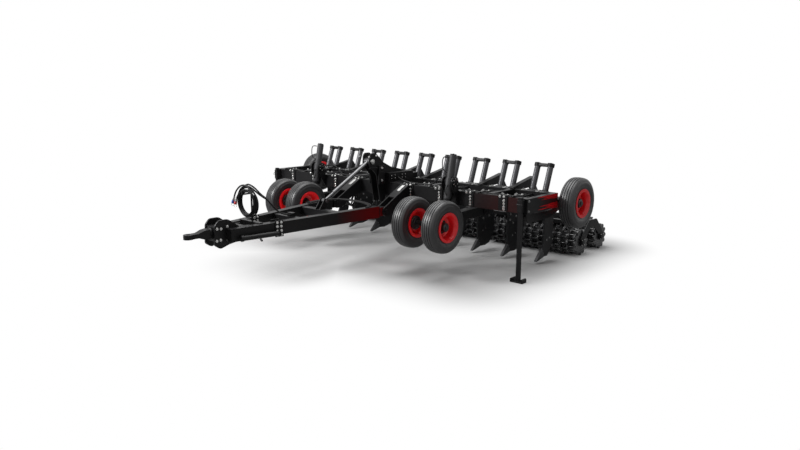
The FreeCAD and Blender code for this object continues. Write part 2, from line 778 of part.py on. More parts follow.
# Drawbar: two beams in an A, a cross member, the head with its cheeks, and the swivel eye
pivot_boss_radius = 66.0
cross_member_y = link_foot_y - 84.0


def drawbar_inner_x(y):
    """Where the inner face of the left drawbar beam lies at y."""
    share = (y - drawbar_front_y) / (drawbar_rear_y - 20 - drawbar_front_y)
    return drawbar_front_x + share * (drawbar_rear_x - drawbar_front_x) - drawbar_width / 2.0


jack_turn = math.atan2(drawbar_rear_x - drawbar_front_x, drawbar_rear_y - 20 - drawbar_front_y)
jack_x = drawbar_inner_x(jack_pivot_y) + drawbar_width / 2.0 + jack_offset / math.cos(jack_turn)


def beside_beam(shape):
    """Turn a jack piece drawn along +Y so that it runs along the left drawbar beam."""
    turned_shape = shape.copy()
    turned_shape.rotate(Vector(jack_x, jack_pivot_y, jack_z), Vector(0, 0, 1), -math.degrees(jack_turn))
    return turned_shape


def jack_mount():
    """The spigot on the left beam that the jack swings on."""
    return beside_beam(rod((jack_x - jack_offset + drawbar_width / 2.0 - 12, jack_pivot_y, jack_z),
                           (jack_x - jack_radius - running_gap, jack_pivot_y, jack_z), 26))


def drawbar_beam(side):
    """A box beam from the head to the boss at its pivot."""
    start = Vector(drawbar_front_x, drawbar_front_y, drawbar_front_z)
    end = Vector(drawbar_rear_x, drawbar_rear_y - 20, drawbar_rear_z)
    half = drawbar_width / 2.0
    tall = drawbar_height / 2.0
    faces = []
    for place in (start, end):
        corners = [Vector(place.x - half, place.y, place.z - tall),
                   Vector(place.x + half, place.y, place.z - tall),
                   Vector(place.x + half, place.y, place.z + tall),
                   Vector(place.x - half, place.y, place.z + tall)]
        faces.append(Part.makePolygon(corners + [corners[0]]))
    beam = Part.makeLoft(faces, True, True)
    boss = rod((drawbar_rear_x - half, drawbar_rear_y, drawbar_rear_z),
               (drawbar_rear_x + half, drawbar_rear_y, drawbar_rear_z), pivot_boss_radius)
    cutter = box((drawbar_rear_x - half - 200, drawbar_rear_x + half + 200),
                 (drawbar_rear_y - 110, drawbar_rear_y + 200),
                 (drawbar_rear_z - 300, drawbar_rear_z + 300))
    neck = box((drawbar_rear_x - half, drawbar_rear_x + half), (drawbar_rear_y - 112, drawbar_rear_y),
               (drawbar_rear_z - pivot_boss_radius, drawbar_rear_z + pivot_boss_radius))
    body = join(beam.cut(cutter), boss, neck)
    body = body.cut(rod((drawbar_rear_x - 99, drawbar_rear_y, drawbar_rear_z),
                        (drawbar_rear_x + 99, drawbar_rear_y, drawbar_rear_z), pin_radius + running_gap))
    return join(body, jack_mount()) if side > 0 else mirrored(body)


def drawbar_cross():
    reach = [drawbar_inner_x(cross_member_y - 60), drawbar_inner_x(cross_member_y + 60)]
    z = (drawbar_rear_z - 60, drawbar_rear_z + 60)
    return flat_plate([(-reach[0], cross_member_y - 60), (reach[0], cross_member_y - 60),
                       (reach[1], cross_member_y + 60), (-reach[1], cross_member_y + 60)], z)


def link_lug():
    """Two ears on the cross member for the foot of the levelling link."""
    ears = []
    for side in (-1.0, 1.0):
        inner = side * 38.0
        outer = side * 52.0
        ears.append(side_plate([(cross_member_y - 58, drawbar_rear_z + 60),
                                (link_foot_y - 30, link_foot_z + 46, 34),
                                (link_foot_y + 46, link_foot_z + 30, 34),
                                (link_foot_y + 30, link_foot_z - 46, 30),
                                (cross_member_y + 58, drawbar_rear_z + 60)],
                               (min(inner, outer), max(inner, outer))))
    hole = rod((-99, link_foot_y, link_foot_z), (99, link_foot_y, link_foot_z),
               link_pin_radius + link_pin_play)
    return [ear.cut(hole) for ear in ears]


def front_cross():
    """A channel between the beams that holds the block where the hoses end."""
    reach = [drawbar_inner_x(hose_block_y - 40), drawbar_inner_x(hose_block_y + 40)]
    z = (drawbar_front_z, drawbar_front_z + 90)
    bar = flat_plate([(-reach[0], hose_block_y - 40), (reach[0], hose_block_y - 40),
                      (reach[1], hose_block_y + 40), (-reach[1], hose_block_y + 40)], z)
    block = box((20, 130), (hose_block_y - 30, hose_block_y + 30), (z[1], z[1] + 56))
    return join(bar, block)


def head_gusset(z):
    front = drawbar_front_y + 4
    rear = -3860.0
    return flat_plate([(-drawbar_inner_x(front), front), (drawbar_inner_x(front), front),
                       (drawbar_inner_x(rear), rear), (-drawbar_inner_x(rear), rear)], (z, z + plate))


def head_cheek():
    return side_plate([(-4345, 655, 40), (-4330, 905, 60), (-4270, 974, 70), (-4130, 974, 80),
                       (-3960, drawbar_front_z + drawbar_height / 2.0 + 2),
                       (-3800, drawbar_front_z + drawbar_height / 2.0 - 4),
                       (-3800, drawbar_front_z - drawbar_height / 2.0 + 4), (-4120, 640, 80),
                       (-4260, 597, 60)],
                      (cheek_inner_x, cheek_inner_x + cheek_plate))


def head_block():
    block = box((-cheek_inner_x, cheek_inner_x), (-4320, -4180), (700, 890))
    return block.cut(rod((0, -4321, swivel_z), (0, -4200, swivel_z), 46 + running_gap))


def swivel_eye():
    """A round neck with its flange, and a flat tongue with a rounded end and the pin's bore."""
    neck = rod((0, -4205, swivel_z), (0, -4375, swivel_z), 46)
    flange = rod((0, swivel_y - 3, swivel_z), (0, swivel_y - 33, swivel_z), 78)
    half = eye_thickness / 2.0
    root_y = swivel_y - 33
    flat = flat_plate([(-66, root_y), (66, root_y), (50, -4500), (46, eye_y), (-46, eye_y), (-50, -4500)],
                      (swivel_z - 70, swivel_z + 70))
    upright = side_plate([(root_y, swivel_z - 66), (-4440, swivel_z - 58, 40), (-4520, swivel_z - half),
                          (eye_y, swivel_z - half), (eye_y, swivel_z + half), (-4520, swivel_z + half),
                          (-4440, swivel_z + 58, 40), (root_y, swivel_z + 66)], (-70, 70))
    shoulder = flat.common(upright)
    end = rod((0, eye_y, swivel_z - half), (0, eye_y, swivel_z + half), eye_radius)
    body = join(neck, flange, shoulder, end)
    return body.cut(rod((0, eye_y, swivel_z - 99), (0, eye_y, swivel_z + 99), eye_bore_radius))


for name, side in sides.items():
    export("drawbar_beam_" + name, drawbar_beam(side))
export("drawbar_cross", join(drawbar_cross(), *link_lug()), front_cross())
export("drawbar_head", join(head_block(), head_cheek(), mirrored(head_cheek()), head_gusset(835), head_gusset(705)))
export("swivel_eye", swivel_eye())


# Levelling link: a sleeve hung from the mast and a rod pinned to the drawbar
link_start = Vector(0, mast_pin_y, mast_pin_z)
link_end = Vector(0, link_foot_y, link_foot_z)
link_line = (link_end - link_start).normalize()
link_length = (link_end - link_start).Length
link_sleeve_radius = 29.0
link_rod_radius = 20.0
link_sleeve_end = 866.0


def on_link(distance):
    point = link_start + link_line * distance
    return (point.x, point.y, point.z)


def link_sleeve():
    eye = rod((-mast_cheek_x + 3, mast_pin_y, mast_pin_z), (mast_cheek_x - 3, mast_pin_y, mast_pin_z), 52)
    tube = rod(on_link(20), on_link(link_sleeve_end), link_sleeve_radius)
    body = join(eye, tube)
    body = body.cut(rod((-99, mast_pin_y, mast_pin_z), (99, mast_pin_y, mast_pin_z),
                        pin_radius + running_gap))
    return body.cut(rod(on_link(120), on_link(link_sleeve_end + 1), link_rod_radius + running_gap))


def link_rod():
    """The rod with its eye; its pin and washers move with it inside wider holes in the lug."""
    shaft = rod(on_link(500), on_link(link_length), link_rod_radius)
    eye = rod((-34, link_foot_y, link_foot_z), (34, link_foot_y, link_foot_z), 34)
    pin = rod((-62, link_foot_y, link_foot_z), (62, link_foot_y, link_foot_z), link_pin_radius)
    washers = []
    for face in (-1.0, 1.0):
        washers.append(rod((face * 52.5, link_foot_y, link_foot_z), (face * 58.5, link_foot_y, link_foot_z),
                           30))
    return join(shaft, eye, pin, *washers)


export("link_sleeve", link_sleeve())
export("link_rod", link_rod())


# Parking stands
def stand_sleeve():
    half = stand_tube / 2.0 + running_gap
    wall = 8.0
    outer = box((stand_x - half - wall, stand_x + half + wall), (stand_y - half - wall, front_face_y),
                (sleeve_bottom, sleeve_top))
    return outer.cut(box((stand_x - half, stand_x + half), (stand_y - half, stand_y + half),
                         (sleeve_bottom - 1, sleeve_top + 1)))


def stand_leg():
    half = stand_tube / 2.0
    leg = box((stand_x - half, stand_x + half), (stand_y - half, stand_y + half), (14, stand_top))
    reach = stand_foot_length / 2.0
    foot = front_plate([(stand_x - reach, 0), (stand_x + reach, 0),
                        (stand_x + reach, stand_foot_height, 20),
                        (stand_x + reach - 24, stand_foot_height), (stand_x + reach - 24, 14),
                        (stand_x - reach + 24, 14), (stand_x - reach + 24, stand_foot_height),
                        (stand_x - reach, stand_foot_height, 20)],
                       (stand_y - stand_foot_width / 2.0, stand_y + stand_foot_width / 2.0))
    return join(leg, foot)


export("stand_sleeves", stand_sleeve(), mirrored(stand_sleeve()))
export("stand_leg_left", stand_leg())
export("stand_leg_right", mirrored(stand_leg()))

# Jack on the left drawbar beam, stored level
def jack_tube():
    inside = rod((jack_x, jack_pivot_y - 60, jack_z), (jack_x, jack_pivot_y + jack_length, jack_z),
                 26 + running_gap)
    tube = rod((jack_x, jack_pivot_y - 110, jack_z), (jack_x, jack_pivot_y + jack_length - 24, jack_z),
               jack_radius)
    body = tube.cut(inside)
    gearbox = rod((jack_x, jack_pivot_y - 118, jack_z), (jack_x, jack_pivot_y - 86, jack_z),
                  jack_radius + 8)
    handle = rod((jack_x, jack_pivot_y + 130, jack_z), (jack_x + 74, jack_pivot_y + 130, jack_z - 34), 9)
    grip = rod((jack_x + 62, jack_pivot_y + 130, jack_z - 29),
               (jack_x + 96, jack_pivot_y + 130, jack_z - 44), 14)
    return beside_beam(join(body, gearbox, handle.cut(inside), grip))


def jack_leg():
    leg = rod((jack_x, jack_pivot_y + 20, jack_z), (jack_x, jack_pivot_y + jack_length, jack_z), 26)
    foot = rod((jack_x, jack_pivot_y + jack_length, jack_z),
               (jack_x, jack_pivot_y + jack_length + 12, jack_z),
               jack_foot_radius)
    return beside_beam(join(leg, foot))


export("jack_tube", jack_tube())
export("jack_leg", jack_leg())


# Hose stand on the drawbar, the hoses on it and their run to the block
stand_wire = 9.0
coil_hang_z = coil_z - coil_hole_drop + coil_hole_radius
hose_shoe_z = 866.05


def hose_stand():
    """A bar bent to a hook that the coil hangs on, on a strap across the beams."""
    half = stand_wire
    top = coil_hang_z - 2 * running_gap
    rear = hose_stand_y + half
    front = coil_front_y - 30 - half
    bar = side_plate([(rear, hose_shoe_z), (rear, top), (front + 2 * half, top),
                      (front + 2 * half, top + 40),
                      (front, top + 40), (front, top - 2 * half), (rear - 2 * half, top - 2 * half),
                      (rear - 2 * half, hose_shoe_z)], (coil_x - half, coil_x + half))
    reach = drawbar_inner_x(hose_stand_y) + 40
    shoe = box((-reach, reach), (hose_stand_y - 30, hose_stand_y + 30), (hose_shoe_z, hose_shoe_z + 10))
    return join(bar, shoe)


def hose_coil():
    """The closed outer shape of the coiled hoses, thicker at the top."""
    y = (coil_front_y, coil_front_y + coil_thickness)
    ring = rod((coil_x, y[0], coil_z), (coil_x, y[1], coil_z), coil_radius)
    hole_z = coil_z - coil_hole_drop
    ring = ring.cut(rod((coil_x, y[0] - 1, hole_z), (coil_x, y[1] + 1, hole_z), coil_hole_radius))
    return ring.makeFillet(14, ring.Edges)


def coupler(start, end):
    """A quick coupler on a hose's free end at the coil's side."""
    line = Vector(*end) - Vector(*start)
    middle = Vector(*start) + line * 0.45
    return join(rod(start, end, 14), rod((middle.x, middle.y, middle.z), end, 19))


def hose_tube(name, points):
    """A hose of straight runs and tangent arcs along its route."""
    corners = [Vector(*point) for point in points]
    edges = []
    start = corners[0]
    radii = []
    for before, corner, after in zip(corners, corners[1:], corners[2:]):
        to_before = (before - corner)
        to_after = (after - corner)
        shorter = min(to_before.Length, to_after.Length)
        to_before.normalize()
        to_after.normalize()
        half_turn = (math.pi - to_before.getAngle(to_after)) / 2.0
        radius = 0.45 * shorter / math.tan(half_turn)
        radii.append(round(radius))
        leave = corner + to_before * (0.45 * shorter)
        arrive = corner + to_after * (0.45 * shorter)
        inward = (to_before + to_after).normalize()
        middle = corner + inward * (radius / math.cos(half_turn) - radius)
        edges.append(Part.LineSegment(start, leave).toShape())
        edges.append(Part.Arc(leave, middle, arrive).toShape())
        start = arrive
    edges.append(Part.LineSegment(start, corners[-1]).toShape())
    path = Part.Wire(edges)
    section = Part.Wire(Part.makeCircle(hose_radius, corners[0], corners[1] - corners[0]))
    tube = path.makePipeShell([section], True, True)
    tube = tube.common(box((-400, 400), (coil_back_y + running_gap, block_face_y - running_gap),
                           (600, 1700)))
    share = tube.Volume / (math.pi * hose_radius ** 2 * path.Length)
    print("hose", name, "length", round(path.Length), "radii", radii, "volume share", round(share, 4))
    return tube


coil_back_y = coil_front_y + coil_thickness
block_face_y = hose_block_y - 30
hose_sink = 10.0
coupler_ends = [((-186, coil_front_y - 14 - running_gap, 1214), (-286, coil_front_y - 20, 1124)),
                ((-171, coil_front_y - 19 - running_gap, 1180),
                 (-189, coil_front_y - 19 - running_gap, 1092))]
hose_routes = {
    "left": [(112, coil_back_y - hose_sink, 1352), (112, -3600, 1268), (110, -3490, 1150),
             (106, -3390, 1040), (102, -3300, 960), (102, -3205, 908),
             (104, block_face_y + hose_sink, 890)],
    "right": [(66, coil_back_y - hose_sink, 1376), (66, -3600, 1292), (62, -3490, 1174), (54, -3390, 1062),
              (48, -3300, 976), (46, -3205, 914), (46, block_face_y + hose_sink, 890)],
}
export("hose_stand", hose_stand())
export("hose_coil", hose_coil())
export("couplers", *[coupler(start, end) for start, end in coupler_ends])
for name, route in hose_routes.items():
    export("hose_" + name, hose_tube(name, route))

# The places of the joints, for whoever poses the machine
joint_places = {
    "drawbar_pitch": (0, drawbar_rear_y, drawbar_rear_z),
    "swivel": (0, swivel_y, swivel_z),
    "link_sleeve_swing": (0, mast_pin_y, mast_pin_z),
    "link_foot": (0, link_foot_y, link_foot_z),
    "front_arm": (front_arm_x, front_arm_y, front_arm_z),
    "front_wheels": (front_wheel_x, front_wheel_y, front_wheel_z),
    "lift_trunnion": (front_arm_x, lift_y, lift_trunnion_z),
    "lift_eye": (front_arm_x, lift_eye_y, lift_eye_z),
    "rear_arm": (rear_arm_x, rear_arm_y, rear_arm_z),
    "rear_wheel": (rear_wheel_x, rear_wheel_y, rear_wheel_z),
    "roller_section": (section_pitch, roller_pivot_y, roller_pivot_z),
    "front_roller": (section_pitch, roller_front_y, roller_z),
    "rear_roller": (section_pitch, roller_rear_y, roller_z),
    "stand": (stand_x, stand_y, stand_top),
    "jack": (jack_x, jack_pivot_y, jack_z),
    "eye": (0, eye_y, swivel_z),
}
print("jack turn", round(math.degrees(jack_turn), 6))
for joint, place in joint_places.items():
    print("joint place", joint, place[0], round(place[1] - origin_y, 3), place[2])
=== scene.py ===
# %% [markdown]
# # A towed subsoiler, dressed
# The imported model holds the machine's solids, one object for each piece, all at their real place in
# metres. This notebook gives them their paint, rubber and steel, draws the hoses as curves, and adds
# what is too fine for the solids: tread ribs, hubs, bolts, clamps, pipes, scrapers and stripes.
# Everything stays in the same frame, so a new piece goes exactly where the solids say.

# %% Load the frame
import bpy
import math
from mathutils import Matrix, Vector


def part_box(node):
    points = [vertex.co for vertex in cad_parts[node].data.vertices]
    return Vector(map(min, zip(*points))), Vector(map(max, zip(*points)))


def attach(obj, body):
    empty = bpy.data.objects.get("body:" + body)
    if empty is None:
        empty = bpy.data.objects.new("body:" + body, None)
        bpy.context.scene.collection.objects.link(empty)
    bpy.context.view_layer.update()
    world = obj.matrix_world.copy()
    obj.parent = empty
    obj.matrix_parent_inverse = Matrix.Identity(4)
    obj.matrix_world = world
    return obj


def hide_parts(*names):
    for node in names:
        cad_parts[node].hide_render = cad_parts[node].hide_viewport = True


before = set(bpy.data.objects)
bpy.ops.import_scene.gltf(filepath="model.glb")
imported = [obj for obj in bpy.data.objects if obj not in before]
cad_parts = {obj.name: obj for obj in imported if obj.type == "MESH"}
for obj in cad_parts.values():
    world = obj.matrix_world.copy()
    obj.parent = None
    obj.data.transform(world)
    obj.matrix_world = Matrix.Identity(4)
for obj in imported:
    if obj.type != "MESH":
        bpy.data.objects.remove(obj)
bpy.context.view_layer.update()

# %% [markdown]
# ## The camera
# The camera stood in front of the machine's left wing, about a metre above the springs. Where the
# evenly spaced springs and the frame's corners fall in the picture gives the place, the turn and the
# focal length, so they are plain numbers here. Nothing is shifted and depth of field stays off.

# %% Camera
camera_data = bpy.data.cameras.new("photo_camera")
camera_data.sensor_width = 36.0
camera_data.lens = 30.487
camera_data.clip_end = 200.0
camera = bpy.data.objects.new("photo_camera", camera_data)
bpy.context.scene.collection.objects.link(camera)
camera.location = (7.592, -7.4845, 2.612)
camera.rotation_euler = (math.radians(90.0 - 11.24), 0.0, math.radians(42.47))
bpy.context.scene.camera = camera
print("camera at", tuple(round(value, 3) for value in camera.location))

# %% [markdown]
# ## Hands for the work
# A few short helpers stand for what a maker does by hand. Each one adds a primitive, shapes it in edit
# mode or with a modifier that is then applied, and moves its place into the mesh. Everything is
# deselected first, because an operator acts on all that is selected.

# %% Selecting and finishing
def let_go():
    """Back to object mode with nothing selected."""
    if bpy.context.object and bpy.context.object.mode != "OBJECT":
        bpy.ops.object.mode_set(mode="OBJECT")
    bpy.ops.object.select_all(action="DESELECT")


def take(pieces):
    """Select these objects, the first one active."""
    let_go()
    for piece in pieces:
        piece.select_set(True)
    bpy.context.view_layer.objects.active = pieces[0]


def settle(piece):
    """Put the object's place, turn and size into its mesh, so that it sits at the origin."""
    take([piece])
    bpy.ops.object.transform_apply(location=True, rotation=True, scale=True)
    return piece


def finish_with(piece, kind, **settings):
    """Add a modifier with these settings and apply it."""
    take([piece])
    modifier = piece.modifiers.new(kind.lower(), kind)
    for name, value in settings.items():
        setattr(modifier, name, value)
    bpy.ops.object.modifier_apply(modifier=modifier.name)
    return piece


def joined(name, pieces):
    """One object of several."""
    take(pieces)
    if len(pieces) > 1:
        bpy.ops.object.join()
    whole = bpy.context.view_layer.objects.active
    whole.name = name
    whole.data.name = name
    return whole


# %% Starting shapes
def block(low, high, edge=0.002):
    """A block between two corners with softened edges."""
    let_go()
    low, high = Vector(low), Vector(high)
    bpy.ops.mesh.primitive_cube_add(size=1.0, location=(low + high) / 2.0)
    piece = bpy.context.object
    piece.scale = high - low
    settle(piece)
    bpy.ops.object.mode_set(mode="EDIT")
    bpy.ops.mesh.select_all(action="SELECT")
    bpy.ops.mesh.bevel(offset=edge, segments=2)
    bpy.ops.object.mode_set(mode="OBJECT")
    return piece


def bar(start, end, radius, sides=24, edge=0.0015):
    """A round bar between two points, its rims softened."""
    let_go()
    start, end = Vector(start), Vector(end)
    along = end - start
    bpy.ops.mesh.primitive_cylinder_add(vertices=sides, radius=radius, depth=along.length,
                                        location=(start + end) / 2.0)
    piece = bpy.context.object
    piece.rotation_euler = along.to_track_quat("Z", "Y").to_euler()
    settle(piece)
    finish_with(piece, "BEVEL", width=edge, segments=2, limit_method="ANGLE", angle_limit=math.radians(50))
    return piece


def smooth(piece, degrees=35):
    """Smooth shading, with every edge that turns more than this left crisp."""
    take([piece])
    bpy.ops.object.shade_smooth_by_angle(angle=math.radians(degrees))
    return piece


def copies(model, places):
    """Copies of a piece modelled at the origin and facing up, at rows of (x, y, z, facing)."""
    made = []
    for x, y, z, facing in places:
        copy = model.copy()
        copy.data = model.data.copy()
        bpy.context.scene.collection.objects.link(copy)
        copy.rotation_euler = Vector(facing).to_track_quat("Z", "Y").to_euler()
        copy.location = (x, y, z)
        made.append(copy)
    take(made)
    bpy.ops.object.transform_apply(location=True, rotation=True, scale=True)
    return made


def set_on(piece, body, material):
    """Give a new piece its body and its material."""
    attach(piece, body)
    piece.data.materials.clear()
    piece.data.materials.append(material)
    print(piece.name, "on", body, len(getattr(piece.data, "polygons", [])), "faces")
    return piece


# %% [markdown]
# ## Finishes
# Nearly everything here is black paint, so the black must not be flat. A fine noise changes its
# roughness like sprayed powder, a slow one lays a film of dust over it, and the Bevel node rounds the
# edges in the shading alone, which gives the bright lines along plates that real edges have.

# %% A material's nodes
def add_node(tree, kind, values=None, **settings):
    """A shader node with its settings and, by the name or number of the input, its values."""
    node = tree.nodes.new("ShaderNode" + kind)
    for name, value in settings.items():
        setattr(node, name, value)
    for key, value in (values or {}).items():
        node.inputs[key].default_value = value
    return node


def finish(name, colour, roughness, metallic=0.0, grain=60.0, uneven=0.35, dust=0.15,
           dust_colour=(0.16, 0.155, 0.15), bump=0.02, edge=0.004, gloss=0.35):
    """A principled finish whose colour and roughness wander with the place on the piece."""
    material = bpy.data.materials.new(name)
    material.use_nodes = True
    tree, links = material.node_tree, material.node_tree.links
    shader = tree.nodes["Principled BSDF"]
    shader.inputs["Metallic"].default_value = metallic
    shader.inputs["Specular IOR Level"].default_value = gloss
    place = add_node(tree, "TexCoord")
    fine = add_node(tree, "TexNoise", {"Scale": grain, "Detail": 4.0})
    slow = add_node(tree, "TexNoise", {"Scale": 2.3, "Detail": 5.0, "Roughness": 0.62})
    links.new(place.outputs["Object"], fine.inputs["Vector"])
    links.new(place.outputs["Object"], slow.inputs["Vector"])
    rough = add_node(tree, "MapRange", {"To Min": roughness * (1.0 - uneven),
                                        "To Max": min(1.0, roughness * (1.0 + uneven))})
    links.new(fine.outputs["Fac"], rough.inputs["Value"])
    links.new(rough.outputs["Result"], shader.inputs["Roughness"])
    film = add_node(tree, "MapRange", {"From Min": 0.45, "From Max": 0.85, "To Max": dust})
    links.new(slow.outputs["Fac"], film.inputs["Value"])
    tint = add_node(tree, "Mix", {"A": (*colour, 1.0), "B": (*dust_colour, 1.0)}, data_type="RGBA")
    links.new(film.outputs["Result"], tint.inputs["Factor"])
    links.new(tint.outputs["Result"], shader.inputs["Base Color"])
    round_edge = add_node(tree, "Bevel", {"Radius": edge}, samples=4)
    relief = add_node(tree, "Bump", {"Strength": bump, "Distance": 0.002})
    links.new(fine.outputs["Fac"], relief.inputs["Height"])
    links.new(round_edge.outputs["Normal"], relief.inputs["Normal"])
    links.new(relief.outputs["Normal"], shader.inputs["Normal"])
    return material


def black_coat(name):
    """The machine's black paint, which is also the ground under its red."""
    return finish(name, (0.0055, 0.0055, 0.006), 0.40, dust=0.03, gloss=0.16)


black_paint = black_coat("black_paint")
leg_black = finish("leg_black", (0.016, 0.0165, 0.0175), 0.50, dust=0.05, gloss=0.14)
roller_black = finish("roller_black", (0.032, 0.032, 0.034), 0.27, dust=0.06, gloss=0.62)
hub_black = finish("hub_black", (0.012, 0.012, 0.012), 0.32, dust=0.08, gloss=0.45)
spring_grey = finish("spring_grey", (0.055, 0.055, 0.059), 0.36, metallic=0.35, grain=120, dust=0.10)
barrel_grey = finish("barrel_grey", (0.030, 0.030, 0.032), 0.42, metallic=0.1, dust=0.08, gloss=0.3)
rim_red = finish("rim_red", (0.90, 0.012, 0.018), 0.34, dust=0.05, dust_colour=(0.35, 0.05, 0.05),
                 gloss=0.5)
zinc = finish("zinc", (0.56, 0.56, 0.55), 0.3, metallic=1.0, dust=0.1, edge=0.001)
dull_zinc = finish("dull_zinc", (0.22, 0.22, 0.22), 0.42, metallic=0.8, dust=0.3, edge=0.001)
point_steel = finish("point_steel", (0.05, 0.05, 0.052), 0.36, metallic=0.5, gloss=0.4)
chrome = finish("chrome", (0.62, 0.62, 0.63), 0.14, metallic=1.0, dust=0.03)
link_steel = finish("link_steel", (0.10, 0.10, 0.104), 0.20, metallic=0.6, dust=0.08, gloss=0.6)
hose_black = finish("hose_black", (0.006, 0.006, 0.0065), 0.5, grain=300, bump=0.1, dust=0.04, gloss=0.14)
blue_cap = finish("blue_cap", (0.012, 0.1, 0.42), 0.35, dust=0.05, gloss=0.5)
red_cap = finish("red_cap", (0.6, 0.02, 0.02), 0.35, dust=0.05, gloss=0.5)
tyre_rubber = finish("tyre_rubber", (0.016, 0.016, 0.017), 0.42, grain=140, bump=0.10, dust=0.25,
                     dust_colour=(0.06, 0.059, 0.057), gloss=0.55)
print("finishes", len(bpy.data.materials))

# %% [markdown]
# ## Black that runs to red
# The side rails carry a stripe decal: nine level bars in deep red that fade in toward the rear of a
# black plate, over a faint red that grows in the same way. A node compares the height with each bar's
# middle and a ramp along the rail fades the bar in, so no image is needed and the bars stay sharp from
# close by. The same ramp, without bars, gives the soft dark red at the rear of the drawbar's beams and
# at the left end of the front beam. The face's direction keeps the red off tops, ends and inner sides.

# %% Painted fades
stripe_ramp = 0.12


def facing_out(tree, parts, faces):
    """1 on the faces that look out along X, or forward for Y, and 0 on the others."""
    geometry = add_node(tree, "NewGeometry")
    turn = add_node(tree, "SeparateXYZ")
    tree.links.new(geometry.outputs["True Normal"], turn.inputs["Vector"])
    outward = add_node(tree, "Math", operation="MULTIPLY")
    tree.links.new(turn.outputs[faces], outward.inputs[0])
    if faces == "X":
        tree.links.new(parts.outputs["X"], outward.inputs[1])
    else:
        outward.inputs[1].default_value = -0.1
    facing = add_node(tree, "MapRange", {"From Min": 0.06, "From Max": 0.08})
    tree.links.new(outward.outputs[0], facing.inputs["Value"])
    return facing.outputs["Result"]


def red_fade(name, start, end, red, axis="Y", faces="X", most=1.0, stripes=()):
    """Black paint that turns red along an axis, with stripes of (height, half width, start)."""
    material = black_coat(name)
    tree, links = material.node_tree, material.node_tree.links
    shader = tree.nodes["Principled BSDF"]
    black = shader.inputs["Base Color"].links[0].from_socket
    place = add_node(tree, "TexCoord")
    parts = add_node(tree, "SeparateXYZ")
    links.new(place.outputs["Object"], parts.inputs["Vector"])
    along = parts.outputs[axis]
    amount = add_node(tree, "MapRange", {"From Min": start, "From Max": end, "To Max": most})
    links.new(along, amount.inputs["Value"])
    mask = amount.outputs["Result"]
    for height, half, begin in stripes:
        line = add_node(tree, "Math", {1: height, 2: half}, operation="COMPARE")
        links.new(parts.outputs["Z"], line.inputs[0])
        grow = add_node(tree, "MapRange", {"From Min": begin, "From Max": begin + stripe_ramp})
        links.new(along, grow.inputs["Value"])
        both = add_node(tree, "Math", operation="MULTIPLY_ADD", use_clamp=True)
        links.new(line.outputs[0], both.inputs[0])
        links.new(grow.outputs["Result"], both.inputs[1])
        links.new(mask, both.inputs[2])
        mask = both.outputs[0]
    only = add_node(tree, "Math", operation="MULTIPLY")
    links.new(mask, only.inputs[0])
    links.new(facing_out(tree, parts, faces), only.inputs[1])
    paint = add_node(tree, "Mix", {"B": (*red, 1.0)}, data_type="RGBA")
    links.new(only.outputs[0], paint.inputs["Factor"])
    links.new(black, paint.inputs["A"])
    links.new(paint.outputs["Result"], shader.inputs["Base Color"])
    return material


rail_low, rail_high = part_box("side_rails")
# height, half width, distance of the bar's start from the rail's front end
rail_bars = [(1.153, 0.0075, 0.24), (1.131, 0.0095, 0.40), (1.111, 0.0035, 0.34), (1.101, 0.0030, 0.60),
             (1.036, 0.0030, 0.52), (1.022, 0.0060, 0.30), (1.001, 0.0090, 0.46), (0.981, 0.0050, 0.26),
             (0.964, 0.0060, 0.56)]
rail_stripe = red_fade("rail_stripe", rail_low.y + 0.30, rail_high.y, (0.72, 0.007, 0.012), most=0.06,
                       stripes=[(height, half, rail_low.y + start) for height, half, start in rail_bars])
beam_fade = red_fade("beam_fade", -1.05, -0.36, (0.115, 0.0035, 0.004))
front_fade = red_fade("front_fade", 1.75, 2.35, (0.020, 0.004, 0.004), axis="X", faces="Y")
print("rail runs from", round(rail_low.y, 3), "to", round(rail_high.y, 3))

# %% [markdown]
# ## Paint for the solids
# Each CAD node keeps its shape and gets a finish. Its mesh is loose triangles, so a Weld modifier joins
# them, an Edge Split at 32 degrees keeps the plates' edges crisp, and the round bars shade smooth.

# %% Finishes on the solids
solid_finishes = {
    "front_beam": front_fade, "side_rails": rail_stripe, "drawbar_beam_left": beam_fade,
    "drawbar_beam_right": beam_fade, "springs": spring_grey, "lift_barrel_left": barrel_grey,
    "lift_barrel_right": barrel_grey, "lift_rod_left": chrome, "lift_rod_right": chrome,
    "legs": leg_black, "leg_points": point_steel, "link_rod": link_steel, "link_sleeve": link_steel,
    "front_rims_left": rim_red, "front_rims_right": rim_red, "rear_rim_left": rim_red,
    "rear_rim_right": rim_red,
}
for name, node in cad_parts.items():
    if name in solid_finishes:
        chosen = solid_finishes[name]
    elif "roller_" in name and "carrier" not in name and "arm" not in name:
        chosen = roller_black
    elif "tyre" in name:
        chosen = tyre_rubber
    else:
        chosen = black_paint
    if node.material_slots:
        for holder in node.material_slots:
            holder.material = chosen
    else:
        node.data.materials.append(chosen)
    node.data.shade_smooth()
    weld = node.modifiers.new("weld", "WELD")
    weld.merge_threshold = 0.00002
    crease = node.modifiers.new("crease", "EDGE_SPLIT")
    crease.split_angle = math.radians(32)
print("painted", len(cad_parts), "solids")

# %% [markdown]
# ## Hoses and their coil
# Two hoses leave a block between the drawbar's beams, climb to the hook of a thin stand, wind a little
# over three times round it and end in their couplers. They are stiff, so their turns differ in size and
# height, and a table gives the coil's radius and centre at a few angles. Each hose is one smooth curve
# along its own route, twelve points to a turn.

# %% Hose curves
hose_diameter = 0.022
coil_middle = 0.030


